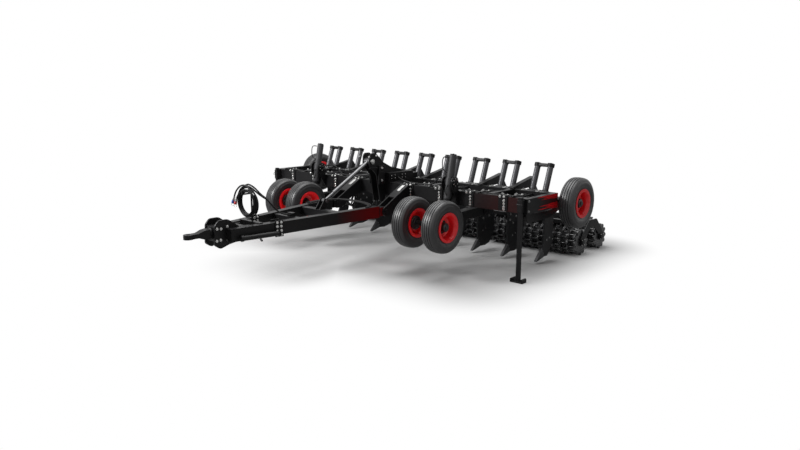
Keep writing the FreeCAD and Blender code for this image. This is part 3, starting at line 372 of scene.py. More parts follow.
def turns(rows, step=30):
    """Points round the coil from rows of (angle from the top, radius, height of the centre, y)."""
    points = []
    angle = rows[0][0]
    while angle <= rows[-1][0] + 0.01:
        for before, after in zip(rows, rows[1:]):
            if before[0] <= angle <= after[0]:
                share = (angle - before[0]) / (after[0] - before[0])
                radius, centre, y = [a + (b - a) * share for a, b in zip(before[1:], after[1:])]
        turn = math.radians(angle)
        points.append((coil_middle - radius * math.sin(turn), y, centre + radius * math.cos(turn)))
        angle += step
    return points


def round_curve(name, route, radius, rounding):
    """A round NURBS curve along a route, closed at its ends."""
    curve = bpy.data.curves.new(name, "CURVE")
    curve.dimensions = "3D"
    curve.bevel_depth = radius
    curve.bevel_resolution = rounding
    curve.use_fill_caps = True
    spline = curve.splines.new("NURBS")
    spline.points.add(len(route) - 1)
    for point, place in zip(spline.points, route):
        point.co = (*place, 1.0)
    spline.order_u = 3
    spline.use_endpoint_u = True
    spline.resolution_u = 8
    piece = bpy.data.objects.new(name, curve)
    bpy.context.scene.collection.objects.link(piece)
    return piece


def hose(name, route, replaced):
    """A hose as one curve on the drawbar, in place of the solids that it replaces."""
    piece = round_curve(name, route, hose_diameter / 2.0, 4)
    piece.data.materials.append(hose_black)
    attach(piece, "drawbar")
    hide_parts(*replaced)
    print(name, "through", len(route), "points")


run_right = [(0.046, -1.5854, 0.890), (0.046, -1.7001, 0.914), (0.048, -1.7951, 0.976),
             (0.056, -1.8851, 1.066), (0.070, -1.9701, 1.164), (0.090, -2.0701, 1.230),
             (0.105, -2.1467, 1.302), (0.091, -2.1814, 1.342), (0.0525, -2.2067, 1.370),
             (0.000, -2.2160, 1.381)]
coil_right = turns([(40, 0.212, 1.170, -2.218), (180, 0.216, 1.150, -2.218), (360, 0.178, 1.128, -2.222),
                    (540, 0.182, 1.148, -2.226), (720, 0.154, 1.126, -2.234), (900, 0.204, 1.158, -2.240),
                    (1080, 0.198, 1.146, -2.240), (1130, 0.198, 1.148, -2.252)])
run_left = [(0.102, -1.5854, 0.890), (0.102, -1.7001, 0.908), (0.102, -1.7951, 0.960),
            (0.106, -1.8851, 1.040), (0.118, -1.9851, 1.150), (0.134, -2.0951, 1.214),
            (0.145, -2.1887, 1.285), (0.131, -2.2234, 1.325), (0.0925, -2.2487, 1.353),
            (0.040, -2.2580, 1.364)]
coil_left = turns([(25, 0.206, 1.158, -2.260), (180, 0.214, 1.150, -2.262), (360, 0.160, 1.134, -2.262),
                   (540, 0.190, 1.146, -2.262), (720, 0.186, 1.130, -2.272), (900, 0.172, 1.140, -2.282),
                   (1080, 0.214, 1.166, -2.284), (1140, 0.226, 1.166, -2.288)])
hose_ends = {"right": [(-0.150, -2.274, 1.226), (-0.156, -2.298, 1.176)],
             "left": [(-0.186, -2.296, 1.242), (-0.192, -2.306, 1.196)]}
print("hose points", len(run_left) + len(coil_left), len(run_right) + len(coil_right))

# %% [markdown]
# The couplers at the hoses' free ends are small spots of colour: a blue and a red dust cap, each on a
# plated body with a ring to pull it by. Each is a bar with stepped collars, bevelled, and it rides on
# the drawbar with its hose.

# %% Couplers
def coupler(name, start, end, colour):
    """A plated coupler with its coloured cap along the line from start to end."""
    start, end = Vector(start), Vector(end)
    along = (end - start).normalized()
    reach = (end - start).length
    body = bar(start - along * 0.012, start + along * reach * 0.45, 0.0135, 6, 0.001)
    body.data.materials.append(dull_zinc)
    collar = bar(start + along * reach * 0.3, start + along * reach * 0.55, 0.0165, 28, 0.002)
    collar.data.materials.append(dull_zinc)
    cap = bar(start + along * reach * 0.5, end, 0.019, 28, 0.005)
    cap.data.materials.append(colour)
    rib = bar(start + along * reach * 0.66, start + along * reach * 0.74, 0.022, 28, 0.002)
    rib.data.materials.append(colour)
    let_go()
    bpy.ops.mesh.primitive_torus_add(major_segments=24, minor_segments=6, major_radius=0.020,
                                     minor_radius=0.0025, location=end - Vector((0.0, 0.0, 0.014)),
                                     rotation=(math.pi / 2.0, 0.0, 0.5))
    pull_ring = settle(bpy.context.object)
    pull_ring.data.materials.append(zinc)
    piece = smooth(joined(name, [body, collar, cap, rib, pull_ring]))
    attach(piece, "drawbar")
    return piece


red_coupler = coupler("red_coupler", hose_ends["right"][-1], (-0.163, -2.3143, 1.098), red_cap)
blue_coupler = coupler("blue_coupler", hose_ends["left"][-1], (-0.226, -2.3140, 1.108), blue_cap)
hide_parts("couplers")
print("couplers", red_coupler.name, blue_coupler.name)

# %% Hoses in place
hose("hose_run_right", run_right + coil_right + hose_ends["right"],
     replaced=["hose_right", "hose_coil"])
hose("hose_run_left", run_left + coil_left + hose_ends["left"],
     replaced=["hose_left"])

# %% [markdown]
# ## Tyres
# A narrow implement tyre has straight ribs round its tread, and thin raised lines on its sidewalls. Its
# section is a ring of points, moved to a table of places and spun once round the axle. The tyre takes the
# place of its plain solid.

# %% A section spun round
def spun(name, ring, place, steps):
    """A closed section of (across, radius) rows, spun round the X axis at a place."""
    let_go()
    bpy.ops.mesh.primitive_circle_add(vertices=len(ring), radius=1.0, fill_type="NOTHING")
    piece = bpy.context.object
    for corner, (across, radius) in zip(piece.data.vertices, ring):
        corner.co = (across, 0.0, radius)
    bpy.ops.object.mode_set(mode="EDIT")
    bpy.ops.mesh.select_all(action="SELECT")
    bpy.ops.mesh.spin(steps=steps, angle=math.tau, center=(0.0, 0.0, 0.0), axis=(1.0, 0.0, 0.0))
    bpy.ops.mesh.select_all(action="SELECT")
    bpy.ops.mesh.remove_doubles(threshold=0.0001)
    bpy.ops.mesh.normals_make_consistent(inside=False)
    bpy.ops.object.mode_set(mode="OBJECT")
    piece.location = place
    settle(piece)
    piece.name = name
    return smooth(piece, 30)


wheel_places = {
    "front_wheels_left": [(1.203, -0.2271, 0.736), (1.757, -0.2271, 0.736)],
    "front_wheels_right": [(-1.757, -0.2271, 0.736), (-1.203, -0.2271, 0.736)],
    "rear_wheel_left": [(2.872, 1.5139, 0.993)],
    "rear_wheel_right": [(-2.872, 1.5139, 0.993)],
}
tyre_solids = {"front_wheels_left": "front_tyres_left", "front_wheels_right": "front_tyres_right",
               "rear_wheel_left": "rear_tyre_left", "rear_wheel_right": "rear_tyre_right"}
# across, radius
tread_side = [(0.0, 0.3750), (0.0135, 0.3748), (0.0160, 0.3640), (0.0235, 0.3638), (0.0260, 0.3740),
              (0.0500, 0.3725), (0.0525, 0.3620), (0.0600, 0.3616), (0.0625, 0.3705), (0.0840, 0.3645),
              (0.0870, 0.3600), (0.0900, 0.3590), (0.0960, 0.3545), (0.1040, 0.3420), (0.1060, 0.3400),
              (0.1075, 0.3250), (0.1125, 0.3080), (0.1130, 0.3050), (0.1150, 0.3040), (0.1155, 0.2850),
              (0.1135, 0.2620), (0.1085, 0.2470), (0.1065, 0.2455), (0.1060, 0.2350), (0.1005, 0.2260),
              (0.0985, 0.2050), (0.0840, 0.2035), (0.0820, 0.2300), (0.0920, 0.2900), (0.0860, 0.3300)]
tyre_ring = tread_side + [(-across, radius) for across, radius in reversed(tread_side[1:])]
print("tyre section", len(tyre_ring), "points")

# %% Tyres in place
for body, places in wheel_places.items():
    made = []
    for place in places:
        made.append(spun("tyre", tyre_ring, place, 80))
    tyres = joined("ribbed_" + tyre_solids[body], made)
    settle(tyres)
    set_on(tyres, body, tyre_rubber)
    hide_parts(tyre_solids[body])

# %% [markdown]
# ## Hubs
# Each red disc is bolted to a black hub: a stepped drum with a cap and a ring of wheel nuts in front of
# it, and a wider flange behind it. Their sections are spun like the tyre's, and the nut is one six-sided
# bar copied round them. Between twin wheels a black sleeve covers the axle, from each hub's back inward.

# %% Hubs in place
# across, radius
drum_ring = [(-0.0300, 0.0400), (-0.0240, 0.0980), (-0.0120, 0.1000), (-0.0060, 0.0960), (-0.0040, 0.0700),
             (0.0560, 0.0660), (0.0660, 0.0600), (0.0720, 0.0440), (0.0740, 0.0360), (0.0860, 0.0340),
             (0.0900, 0.0280), (0.0900, 0.0020), (-0.0290, 0.0020)]
brake_ring = [(-0.0385, 0.0380), (-0.0385, 0.0980), (-0.0440, 0.1020), (-0.0640, 0.1020), (-0.0700, 0.0960),
              (-0.0740, 0.0720), (-0.0860, 0.0660), (-0.0880, 0.0380)]
# which way the nuts face, how far in from the wheel's middle they sit, radius of their circle
nut_circles = [(1.0, 0.006, 0.083), (-1.0, 0.070, 0.080)]
wheel_nuts = 6
nut_model = bar((0.0, 0.0, -0.006), (0.0, 0.0, 0.012), 0.0125, 6, 0.0015)
stud_model = bar((0.0, 0.0, 0.0), (0.0, 0.0, 0.018), 0.0065, 10, 0.001)
nut_model = joined("wheel_nut", [nut_model, stud_model])
sleeve_start, sleeve_length, sleeve_radius = 0.080, 0.120, 0.0385


def hub(place, outward):
    """A hub drum with two rings of wheel nuts, facing out along X."""
    pieces = []
    for section in (drum_ring, brake_ring):
        pieces.append(spun("hub", [(outward * across, radius) for across, radius in section], place, 40))
    rows = []
    for number in range(wheel_nuts):
        turn = math.tau * (number + 0.5) / wheel_nuts
        for way, inward, circle in nut_circles:
            rows.append((place[0] - outward * inward, place[1] + circle * math.sin(turn),
                         place[2] + circle * math.cos(turn), (way * outward, 0.0, 0.0)))
    pieces += copies(nut_model, rows)
    return pieces


for body, places in wheel_places.items():
    made = []
    for place in places:
        if len(places) == 2:
            outward = 1.0 if place[0] == max(places)[0] else -1.0
            back_face = Vector(place) - Vector((outward * sleeve_start, 0.0, 0.0))
            made.append(bar(back_face, back_face - Vector((outward * sleeve_length, 0.0, 0.0)),
                            sleeve_radius, 28))
        else:
            outward = math.copysign(1.0, place[0])
        made += hub(place, outward)
    set_on(joined("hubs_of_" + body, made), body, hub_black)
bpy.data.objects.remove(nut_model)

# %% [markdown]
# ## Bolts
# The frame is bolted together, so hexagon heads on washers sit in rows on every bracket. One head is
# modelled at the origin, facing up, and copied to a table of places with the way that each one faces.

# %% The bolt and its rows
leg_pitch = 0.58
leg_rows = [round(leg_pitch * number, 3) for number in range(-4, 5)]
washer = bar((0.0, 0.0, -0.001), (0.0, 0.0, 0.003), 0.019, 16, 0.0008)
head = bar((0.0, 0.0, 0.002), (0.0, 0.0, 0.014), 0.0145, 6, 0.0012)
bolt_model = joined("bolt_model", [washer, head])
left, right, front, up = (1, 0, 0), (-1, 0, 0), (0, -1, 0), (0, 0, 1)


def both_faces(middle, reach, y, z):
    """One bolt's rows on the left and right faces of a piece, that far from its middle."""
    return [(middle + reach, y, z, left), (middle - reach, y, z, right)]


def bolt_rows(name, rows, body, material, model=bolt_model):
    """Bolts, or another small steel piece, from rows of (x, y, z, facing)."""
    return set_on(joined(name, copies(model, rows)), body, material)


def black_plates(name, pieces, body="frame"):
    """Pieces of one sort joined and painted black."""
    return set_on(joined(name, pieces), body, black_paint)


print("legs at", leg_rows)

# %% [markdown]
# Every leg's bracket has six bolts through each cheek, behind the rear beam. All nine brackets are
# alike, so one table of places on a cheek is repeated at each leg.

# %% Bolts on the leg brackets
# y, z on a bracket's cheek
cheek_bolts = [(1.225, 1.105), (1.225, 1.010), (1.300, 1.065), (1.385, 1.050), (1.470, 0.990),
               (1.300, 0.985)]
cheek_reach = 0.0762
rows = []
for leg in leg_rows:
    for y, z in cheek_bolts:
        rows += both_faces(leg, cheek_reach, y, z)
bolt_rows("leg_bracket_bolts", rows, "frame", dull_zinc)

# %% [markdown]
# The pins that the legs swing on end in a thick washer and a nut. Low heads on both sides of a leg's
# foot hold the chisel and the blade. Six more bolts stand on each side of the broad legs, and the
# outermost two legs are narrower and have none.

# %% Pins and foot bolts of the legs
pin_washer = bar((0.0, 0.0, 0.0), (0.0, 0.0, 0.006), 0.040, 28, 0.0015)
pin_nut = bar((0.0, 0.0, 0.004), (0.0, 0.0, 0.024), 0.027, 6, 0.002)
pin_end = joined("pin_end", [pin_washer, pin_nut])
pin_reach, pin_y, pin_z = 0.0862, 1.4849, 0.880
rows = []
for leg in leg_rows:
    rows += both_faces(leg, pin_reach, pin_y, pin_z)
bolt_rows("leg_pin_ends", rows, "frame", dull_zinc, pin_end)
# y, z on a leg's side
foot_places = [(1.448, 0.176), (1.468, 0.136), (1.560, 0.335), (1.640, 0.360)]
blade_places = [(1.480, 0.690), (1.470, 0.600), (1.570, 0.730), (1.640, 0.640), (1.560, 0.540),
                (1.730, 0.560)]
foot_reach, blade_reach = 0.0147, 0.0150
narrow_from, narrow_shift = 2.0, 0.072
foot_rows, blade_rows = [], []
for leg in leg_rows:
    narrow = abs(leg) > narrow_from
    for y, z in foot_places:
        foot_rows += both_faces(leg, foot_reach, y + (narrow_shift if narrow else 0.0), z)
    if not narrow:
        for y, z in blade_places:
            blade_rows += both_faces(leg, blade_reach, y, z)
foot_bolt = bar((0.0, 0.0, -0.001), (0.0, 0.0, 0.004), 0.013, 12, 0.0008)
bolt_rows("foot_bolts", foot_rows, "frame", dull_zinc, foot_bolt)
bolt_rows("leg_side_bolts", blade_rows, "frame", dull_zinc)

# %% [markdown]
# ## Springs
# The leg springs are pairs of heavy steel tubes round coil springs. Each stands on a black collar and
# carries a lock nut on top, where its rod comes through the yoke.

# %% Collars and lock nuts of the springs
lean = math.radians(20.0)
up_spring = Vector((0.0, math.sin(lean), math.cos(lean)))
spring_foot = Vector((0.0, 1.3649, 1.137))
spring_spread = 0.11
collar_height, nut_height = 0.002, 0.4222
collar_model = bar((0.0, 0.0, 0.0), (0.0, 0.0, 0.010), 0.0505, 32, 0.002)
nut_large = bar((0.0, 0.0, 0.0), (0.0, 0.0, 0.009), 0.021, 6, 0.0015)
rod_tip = bar((0.0, 0.0, 0.005), (0.0, 0.0, 0.013), 0.0105, 16, 0.002)
lock_nut = joined("lock_nut", [nut_large, rod_tip])
collars, nuts = [], []
for leg in leg_rows:
    for side in (-spring_spread, spring_spread):
        low = spring_foot + up_spring * collar_height
        high = spring_foot + up_spring * nut_height
        collars.append((leg + side, low.y, low.z, tuple(up_spring)))
        nuts.append((leg + side, high.y, high.z, tuple(up_spring)))
black_plates("spring_collars", copies(collar_model, collars))
bolt_rows("spring_lock_nuts", nuts, "frame", dull_zinc, lock_nut)

# %% [markdown]
# ## Lift cylinders
# The upright cylinders swing in bearing caps bolted to the outside of their ears. A hard pipe leaves the
# barrel near its top, loops out to the side and comes back lower down, and a second one feeds the foot.

# %% Bearing caps
lift_x, lift_y, lift_z = 1.470, 0.2819, 1.299
cap_reach, cap_thickness, cap_circle, cap_bolts = 0.0964, 0.012, 0.050, 6
cap_disc = bar((0.0, 0.0, 0.0), (0.0, 0.0, 0.013), 0.070, 40, 0.003)
cap_boss = bar((0.0, 0.0, 0.010), (0.0, 0.0, 0.024), 0.036, 32, 0.004)
bearing_cap = joined("bearing_cap", [cap_disc, cap_boss])
rows, cap_rows = [], []
for side in (1.0, -1.0):
    for face in (1.0, -1.0):
        x = side * lift_x + face * cap_reach
        cap_rows.append((x, lift_y, lift_z, (face, 0.0, 0.0)))
        for number in range(cap_bolts):
            turn = math.tau * number / cap_bolts
            rows.append((x + face * cap_thickness, lift_y + cap_circle * math.sin(turn),
                         lift_z + cap_circle * math.cos(turn), (face, 0.0, 0.0)))
black_plates("lift_bearing_caps", copies(bearing_cap, cap_rows))
small_head = bar((0.0, 0.0, 0.0), (0.0, 0.0, 0.008), 0.0085, 6, 0.0008)
bolt_rows("lift_cap_bolts", rows, "frame", zinc, small_head)

# %% Rigid pipes
both_sides = (("left", 1.0), ("right", -1.0))


def pipe(name, route, radius, body="frame", material=hose_black):
    """A bent steel pipe through its points."""
    take([round_curve(name, route, radius, 3)])
    bpy.ops.object.convert(target="MESH")
    return set_on(smooth(bpy.context.object, 60), body, material)


# the barrel leans back, and its lid and gland lie this far along it from the bearing
lean_y, lean_z = 0.2021, 0.9794
lid_reach, gland_reach = 0.392, 0.296
up_barrel = Vector((0.0, lean_y, lean_z))
# x from the barrel's middle, y, z
top_route = [(-0.030, 0.300, 1.655), (-0.075, 0.270, 1.668), (-0.118, 0.262, 1.640), (-0.122, 0.255, 1.560),
             (-0.110, 0.250, 1.480), (-0.060, 0.262, 1.440), (-0.034, 0.275, 1.430)]
foot_route = [(0.010, 0.205, 1.090), (0.012, 0.175, 1.120), (0.014, 0.180, 1.200), (0.014, 0.205, 1.250),
              (0.012, 0.235, 1.262)]
pipe_radius = 0.0070
for name, side in both_sides:
    x = side * lift_x
    body = "lift_barrel_" + name
    for sort, route in (("barrel_pipe_", top_route), ("barrel_feed_", foot_route)):
        pipe(sort + name, [(x + dx, y, z) for dx, y, z in route], pipe_radius, body)
    low = Vector((x, lift_y + lean_y * lid_reach, lift_z + lean_z * lid_reach))
    lid = bar(low, low + up_barrel * 0.014, 0.048, 40, 0.003)
    screw = bar(low, low + up_barrel * 0.022, 0.012, 6, 0.002)
    black_plates("barrel_lid_" + name, [lid, screw], body)
    gland = Vector((x, lift_y - lean_y * gland_reach, lift_z - lean_z * gland_reach))
    black_plates("barrel_gland_" + name, [bar(gland, gland + up_barrel * 0.050, 0.060, 40, 0.004)], body)

# %% [markdown]
# ## Bolts on the front beam
# In front of every leg but the middle one a flange is bolted to the front beam, and two tie bars run
# back from it to the rear beam, under a clamp. Straps lie over the pipes along the beam's top.

# %% Flanges, tie bars and clamps
beam_front, beam_top = 0.3620, 1.1635
flange_shift = 0.030
flange_top = beam_top + 0.0125
tie_reach, tie_z, tie_front = 0.038, 1.120, 0.494
clamp_low, clamp_high = 1.096, 1.146
# x from the flange's middle, z
flange_bolts = [(0.018, 1.160), (0.018, 1.104), (0.018, 1.060), (0.018, 1.016), (0.018, 0.984),
                (-0.050, 1.160)]
flanges, ties, rows = [], [], []
for leg in leg_rows:
    if leg == 0.0:
        continue
    x = leg + flange_shift
    flanges.append(block((x - 0.075, beam_front, 0.965), (x + 0.075, beam_front + 0.0125, 1.185), 0.003))
    flanges.append(block((x - 0.060, beam_front, beam_top), (x + 0.060, tie_front, flange_top), 0.003))
    for dx, z in flange_bolts:
        rows.append((x + dx, beam_front, z, front))
    for dx in (-tie_reach, tie_reach):
        rows.append((x + dx, 0.4300, flange_top, up))
        ties.append(bar((x + dx, 0.492, tie_z), (x + dx, 1.067, tie_z), 0.013, 12))
        ties.append(bar((x + dx, tie_front, tie_z), (x + dx, 0.516, tie_z), 0.024, 6))
    ties.append(block((x - 0.070, 0.745, clamp_low), (x + 0.070, 0.815, clamp_high), 0.006))
    for dx in (-0.050, 0.050):
        rows.append((x + dx, 0.780, clamp_high, up))
black_plates("leg_flanges", flanges)
black_plates("leg_tie_bars", ties)
bolt_rows("leg_flange_bolts", rows, "frame", zinc)

# %% Bolts and straps on top of the beams
rear_bolt_reach = 0.12
rows = []
for leg in leg_rows:
    for dx in (-rear_bolt_reach, rear_bolt_reach):
        for y in (1.098, 1.152):
            rows.append((leg + dx, y, beam_top, up))
bolt_rows("rear_beam_bolts", rows, "frame", zinc)
strap_top = 1.174
straps, rows = [], []
for side in (1.0, -1.0):
    for place in (0.480, 0.650, 0.985, 1.095):
        x = side * place
        straps.append(block((x - 0.020, 0.368, beam_top), (x + 0.020, 0.502, strap_top), 0.002))
        for y in (0.392, 0.476):
            rows.append((x, y, strap_top, up))
black_plates("beam_straps", straps)
bolt_rows("beam_strap_bolts", rows, "frame", dull_zinc)

# %% [markdown]
# A pair of pipes runs from the spine along the front beam on each side, the larger one on to the lift
# cylinder. Under the beam hangs a manifold, a long block with pipe ends in front and below and three
# pipes that loop under it. Two feed pipes sweep round the rear of the drawbar. Each route is a short list
# of points on the left side, mirrored for the right, and the curve helper of the hoses draws it.

# %% Pipes along the frame
beam_route = [(0.174, 0.560, 1.235), (0.240, 0.520, 1.238), (0.330, 0.452, 1.226), (0.500, 0.436, 1.190),
              (0.800, 0.434, 1.186), (1.000, 0.434, 1.190), (1.090, 0.430, 1.260), (1.160, 0.420, 1.330),
              (1.270, 0.370, 1.335), (1.330, 0.300, 1.318), (1.352, 0.284, 1.300)]
low_route = [(0.174, 0.600, 1.205), (0.260, 0.560, 1.200), (0.360, 0.470, 1.182), (0.700, 0.462, 1.180),
             (1.250, 0.462, 1.180), (1.340, 0.440, 1.180), (1.372, 0.410, 1.175)]


def mirrored(route, side):
    """A route drawn on the left, for either side."""
    return [(side * x, y, z) for x, y, z in route]


for name, side in both_sides:
    pipe("beam_pipe_" + name, mirrored(beam_route, side), 0.010)
    pipe("beam_pipe_low_" + name, mirrored(low_route, side), 0.009,
         material=black_paint)

# %% Manifolds under the beam
manifold_start, manifold_end = 0.900, 1.370
port_pitch, port_y, port_z = 0.085, 0.472, 0.908
for name, side in both_sides:
    ends = sorted((side * manifold_start, side * manifold_end))
    manifold = [block((ends[0], 0.400, 0.862), (ends[1], 0.545, 0.9545), 0.008)]
    for number in range(5):
        x = side * (0.960 + port_pitch * number)
        manifold.append(bar((x, 0.402, port_z), (x, 0.362, port_z), 0.017, 6, 0.002))
        manifold.append(bar((x, port_y, 0.864), (x, port_y, 0.830), 0.019, 6, 0.002))
        manifold.append(bar((x, port_y, 0.832), (x, port_y, 0.800), 0.013, 16, 0.002))
    black_plates("manifold_" + name, manifold)
    for number in range(3):
        y, spread = 0.425 + 0.040 * number, 0.022 * number
        loop = [(0.930 + spread, y, 0.866), (0.932 + spread, y, 0.780), (0.905 + spread, y, 0.705),
                (0.840, y, 0.672 - spread), (0.775 - spread, y, 0.705), (0.748 - spread, y, 0.780),
                (0.750 - spread, y, 0.956)]
        pipe("manifold_pipe_%s_%d" % (name, number), mirrored(loop, side), 0.014)

# %% Feed pipes on the drawbar
for name, shift in (("upper", 0.0), ("lower", 0.045)):
    route = [(-0.400 - shift, -0.820, 0.905), (-0.390 - shift, -0.700, 0.925),
             (-0.345 - shift, -0.520, 0.930), (-0.290 - shift, -0.330, 0.922),
             (-0.180, -0.262 + shift, 0.918), (0.040, -0.253 + shift, 0.916), (0.240, -0.290 + shift, 0.917),
             (0.420, -0.360 + shift, 0.917), (0.500, -0.430 + shift, 0.914), (0.530, -0.520 + shift, 0.902)]
    pipe("drawbar_feed_" + name, route, 0.011, "drawbar")

# %% [markdown]
# Each drawbar bracket has a thin bright plated plate on its sloping crown, a painted highlight that
# stands in for the crown's shine, and cables run out along the front beam to the stands. The side rails
# are bolted on through their front ends.

# %% Highlight plates, cables and rail bolts
crown_slope = math.radians(28.0)
# These plates are a painted highlight: bright zinc laid on the brackets' sloping crowns for their shine.
plates = []
for side in (1.0, -1.0):
    plate = block((-0.026, -0.074, 0.0), (0.026, 0.074, 0.004), 0.0015)
    plate.rotation_euler = (crown_slope, 0.0, 0.0)
    plate.location = (side * 0.545, 0.232, 1.1215)
    plates.append(settle(plate))
set_on(joined("bracket_wear_plates", plates), "frame", zinc)
cable_route = [(1.590, 0.420, 1.176), (1.700, 0.420, 1.177), (1.900, 0.405, 1.176), (2.150, 0.425, 1.176),
               (2.400, 0.405, 1.176), (2.560, 0.425, 1.177), (2.620, 0.470, 1.172)]
for name, side in both_sides:
    pipe("beam_cable_" + name, mirrored(cable_route, side), 0.0085)
strap_top = 1.187
straps, rows = [], []
for side in (1.0, -1.0):
    for place in (1.70, 1.93, 2.28, 2.50):
        x = side * place
        straps.append(block((x - 0.016, 0.368, beam_top), (x + 0.016, 0.470, strap_top), 0.004))
        rows.append((x, 0.455, strap_top, up))
black_plates("cable_straps", straps)
rail_face, rail_y = 2.7452, 0.405
for side in (1.0, -1.0):
    for z in (1.130, 0.990):
        rows.append((side * rail_face, rail_y, z, (side, 0.0, 0.0)))
bolt_rows("rail_bolts", rows, "frame", dull_zinc)

# %% [markdown]
# ## Mast and spine
# The tall plates over the middle carry the levelling link. Their pin ends in a bright washer and nut,
# ribs stand on their outsides, and covers with four small bolts each close the spine's sides.

# %% Mast fittings
mast_face, spine_face, cover_depth = 0.0925, 0.1722, 0.008


def side_slab(side, face, depth, low, high, edge=0.003):
    """A slab that stands out from a side face, between two corners of (y, z)."""
    near, far = sorted((side * face, side * face + side * depth))
    return block((near, *low), (far, *high), edge)


pieces = []
for side in (1.0, -1.0):
    pieces.append(side_slab(side, mast_face, 0.020, (0.194, 1.140), (0.333, 1.441)))
    pieces.append(side_slab(side, mast_face, 0.012, (-0.020, 1.395), (0.185, 1.420)))
black_plates("mast_ribs", pieces)
# x, y, z on the left, the last two on a rib
mast_bolts = [(mast_face, -0.010, 1.590), (mast_face, 0.150, 1.600), (0.1125, 0.262, 1.400),
              (0.1125, 0.262, 1.200)]
pieces = []
for side in (1.0, -1.0):
    face = (side, 0.0, 0.0)
    pieces += copies(pin_end, [(side * 0.0920, 0.0729, 1.514, face)])
    for reach, y, z in mast_bolts:
        pieces += copies(bolt_model, [(side * reach, y, z, face)])
set_on(joined("mast_bolts", pieces), "frame", zinc)
covers, rows = [], []
for side in (1.0, -1.0):
    for y in (0.455, 0.700):
        covers.append(side_slab(side, spine_face, cover_depth, (y - 0.055, 1.205), (y + 0.055, 1.285),
                                edge=0.002))
        for dy in (-0.040, 0.040):
            for z in (1.220, 1.270):
                rows.append((side * spine_face + side * cover_depth, y + dy, z, (side, 0.0, 0.0)))
black_plates("spine_covers", covers)
bolt_rows("spine_cover_screws", rows, "frame", zinc, small_head)

# %% [markdown]
# ## Drawbar fittings
# A pair of clamp plates holds the parts of each beam together, with eight bolts on each face. The
# head's cheeks are bolted to the front channel. The plates lie along the slanting beams, so they are
# made at the origin and turned with them.

# %% Clamp plates on the drawbar
beam_spread, beam_length, beam_rise = 0.371, 2.480, 0.048
slant = math.atan2(beam_spread, beam_length)
# distance along the beam from its front end, and from the beam's middle to its faces
along, face_reach = 0.690, 0.0612
clamp_half = 0.006
for name, side in both_sides:
    pieces, heads = [], []
    for face in (1.0, -1.0):
        plate = block((-clamp_half, -0.062, -0.112), (clamp_half, 0.062, 0.112), 0.003)
        rows = [(face * clamp_half, dy, dz, (face, 0.0, 0.0)) for dy in (-0.030, 0.030)
                for dz in (-0.085, -0.030, 0.030, 0.085)]
        bolts = copies(bolt_model, rows)
        across = face_reach * face
        for piece in [plate] + bolts:
            piece.rotation_euler = (0.0, 0.0, -side * slant)
            piece.location = (side * (0.174 + beam_spread * along / beam_length) + across * math.cos(slant),
                              -2.6551 + along - across * side * math.sin(slant),
                              0.770 + beam_rise * along / beam_length - 0.001)
            settle(piece)
        pieces.append(plate)
        heads += bolts
    black_plates("drawbar_clamps_" + name, pieces, "drawbar")
    set_on(joined("drawbar_clamp_bolts_" + name, heads), "drawbar", zinc)

# %% Bolts on the drawbar's head
# y, z on a cheek of the head
head_bolts = [(-2.793, 0.867), (-2.735, 0.861), (-2.805, 0.710), (-2.747, 0.716), (-2.640, 0.880),
              (-2.640, 0.700)]
head_reach = 0.1192
rows = []
for side in (1.0, -1.0):
    for y, z in head_bolts:
        rows.append((side * head_reach, y, z, (side, 0.0, 0.0)))
bolt_rows("head_bolts", rows, "drawbar", zinc)

# %% [markdown]
# ## Stand pins
# A parking stand hangs in its sleeve on a cross pin, which has a ring to pull it by.

# %% Stand pins
stand_x, stand_y, pin_half = 2.674, 0.2790, 0.046
for name, side in both_sides:
    x = side * stand_x
    pin = bar((x - pin_half, stand_y, 1.090), (x + pin_half, stand_y, 1.090), 0.008, 14, 0.002)
    let_go()
    bpy.ops.mesh.primitive_torus_add(major_segments=28, minor_segments=8, major_radius=0.018,
                                     minor_radius=0.0028, location=(x + side * pin_half, stand_y, 1.074),
                                     rotation=(0.0, math.pi / 2.0, 0.0))
    ring = settle(bpy.context.object)
    set_on(smooth(joined("stand_pin_" + name, [pin, ring])), "frame", black_paint)

# %% [markdown]
# ## Roller bearings
# Each toothed roller turns in a flanged bearing on its end plates: a square housing with rounded corners,
# a round cap and four bolts.

# %% Bearings on the end plates
section_middles = (("left", 1.74), ("middle", 0.0), ("right", -1.74))
front_axle_y, rear_axle_y = 2.3349, 2.9849
plate_reach, bearing_z, bolt_reach = 0.8412, 0.2143, 0.040
housing = block((-0.055, -0.055, 0.0), (0.055, 0.055, 0.010), 0.004)
dome = bar((0.0, 0.0, 0.008), (0.0, 0.0, 0.022), 0.040, 32, 0.005)
bearing = joined("bearing", [housing, dome])
for name, middle in section_middles:
    rows, heads = [], []
    for face in (1.0, -1.0):
        facing = (face, 0.0, 0.0)
        x = middle + face * plate_reach
        for y in (front_axle_y, rear_axle_y):
            rows.append((x, y, bearing_z, facing))
            for dy in (-bolt_reach, bolt_reach):
                for dz in (-bolt_reach, bolt_reach):
                    heads.append((x + face * 0.010, y + dy, bearing_z + dz, facing))
    black_plates("roller_bearings_" + name, copies(bearing, rows), "roller_section_" + name)
    bolt_rows("roller_bearing_bolts_" + name, heads, "roller_section_" + name, zinc, small_head)

# %% [markdown]
# Between its toothed rings each roller is closed by short round bars, welded from tooth to tooth and set
# half a tooth on from one gap to the next. One gap's bars are modelled as a cage and copied along.

# %% Cages between the rings
teeth, gaps = 12, 12
roller_length, ring_thickness = 1.630, 0.026
ring_pitch = (roller_length - ring_thickness) / gaps
cage_radius, cage_half, cage_z = 0.188, 0.0555, 0.2077
half_tooth = math.radians(15.0)
gap_bars = []
for tooth in range(teeth):
    turn = math.tau * tooth / teeth
    y, z = cage_radius * math.sin(turn), cage_radius * math.cos(turn)
    gap_bars.append(bar((-cage_half, y, z), (cage_half, y, z), 0.0120, 8, 0.001))
cage = joined("cage", gap_bars)


def gap_middle(middle, number):
    """Where the middle of a gap between two rings lies across the machine."""
    return middle - roller_length / 2.0 + ring_thickness / 2.0 + ring_pitch * (number + 0.5)


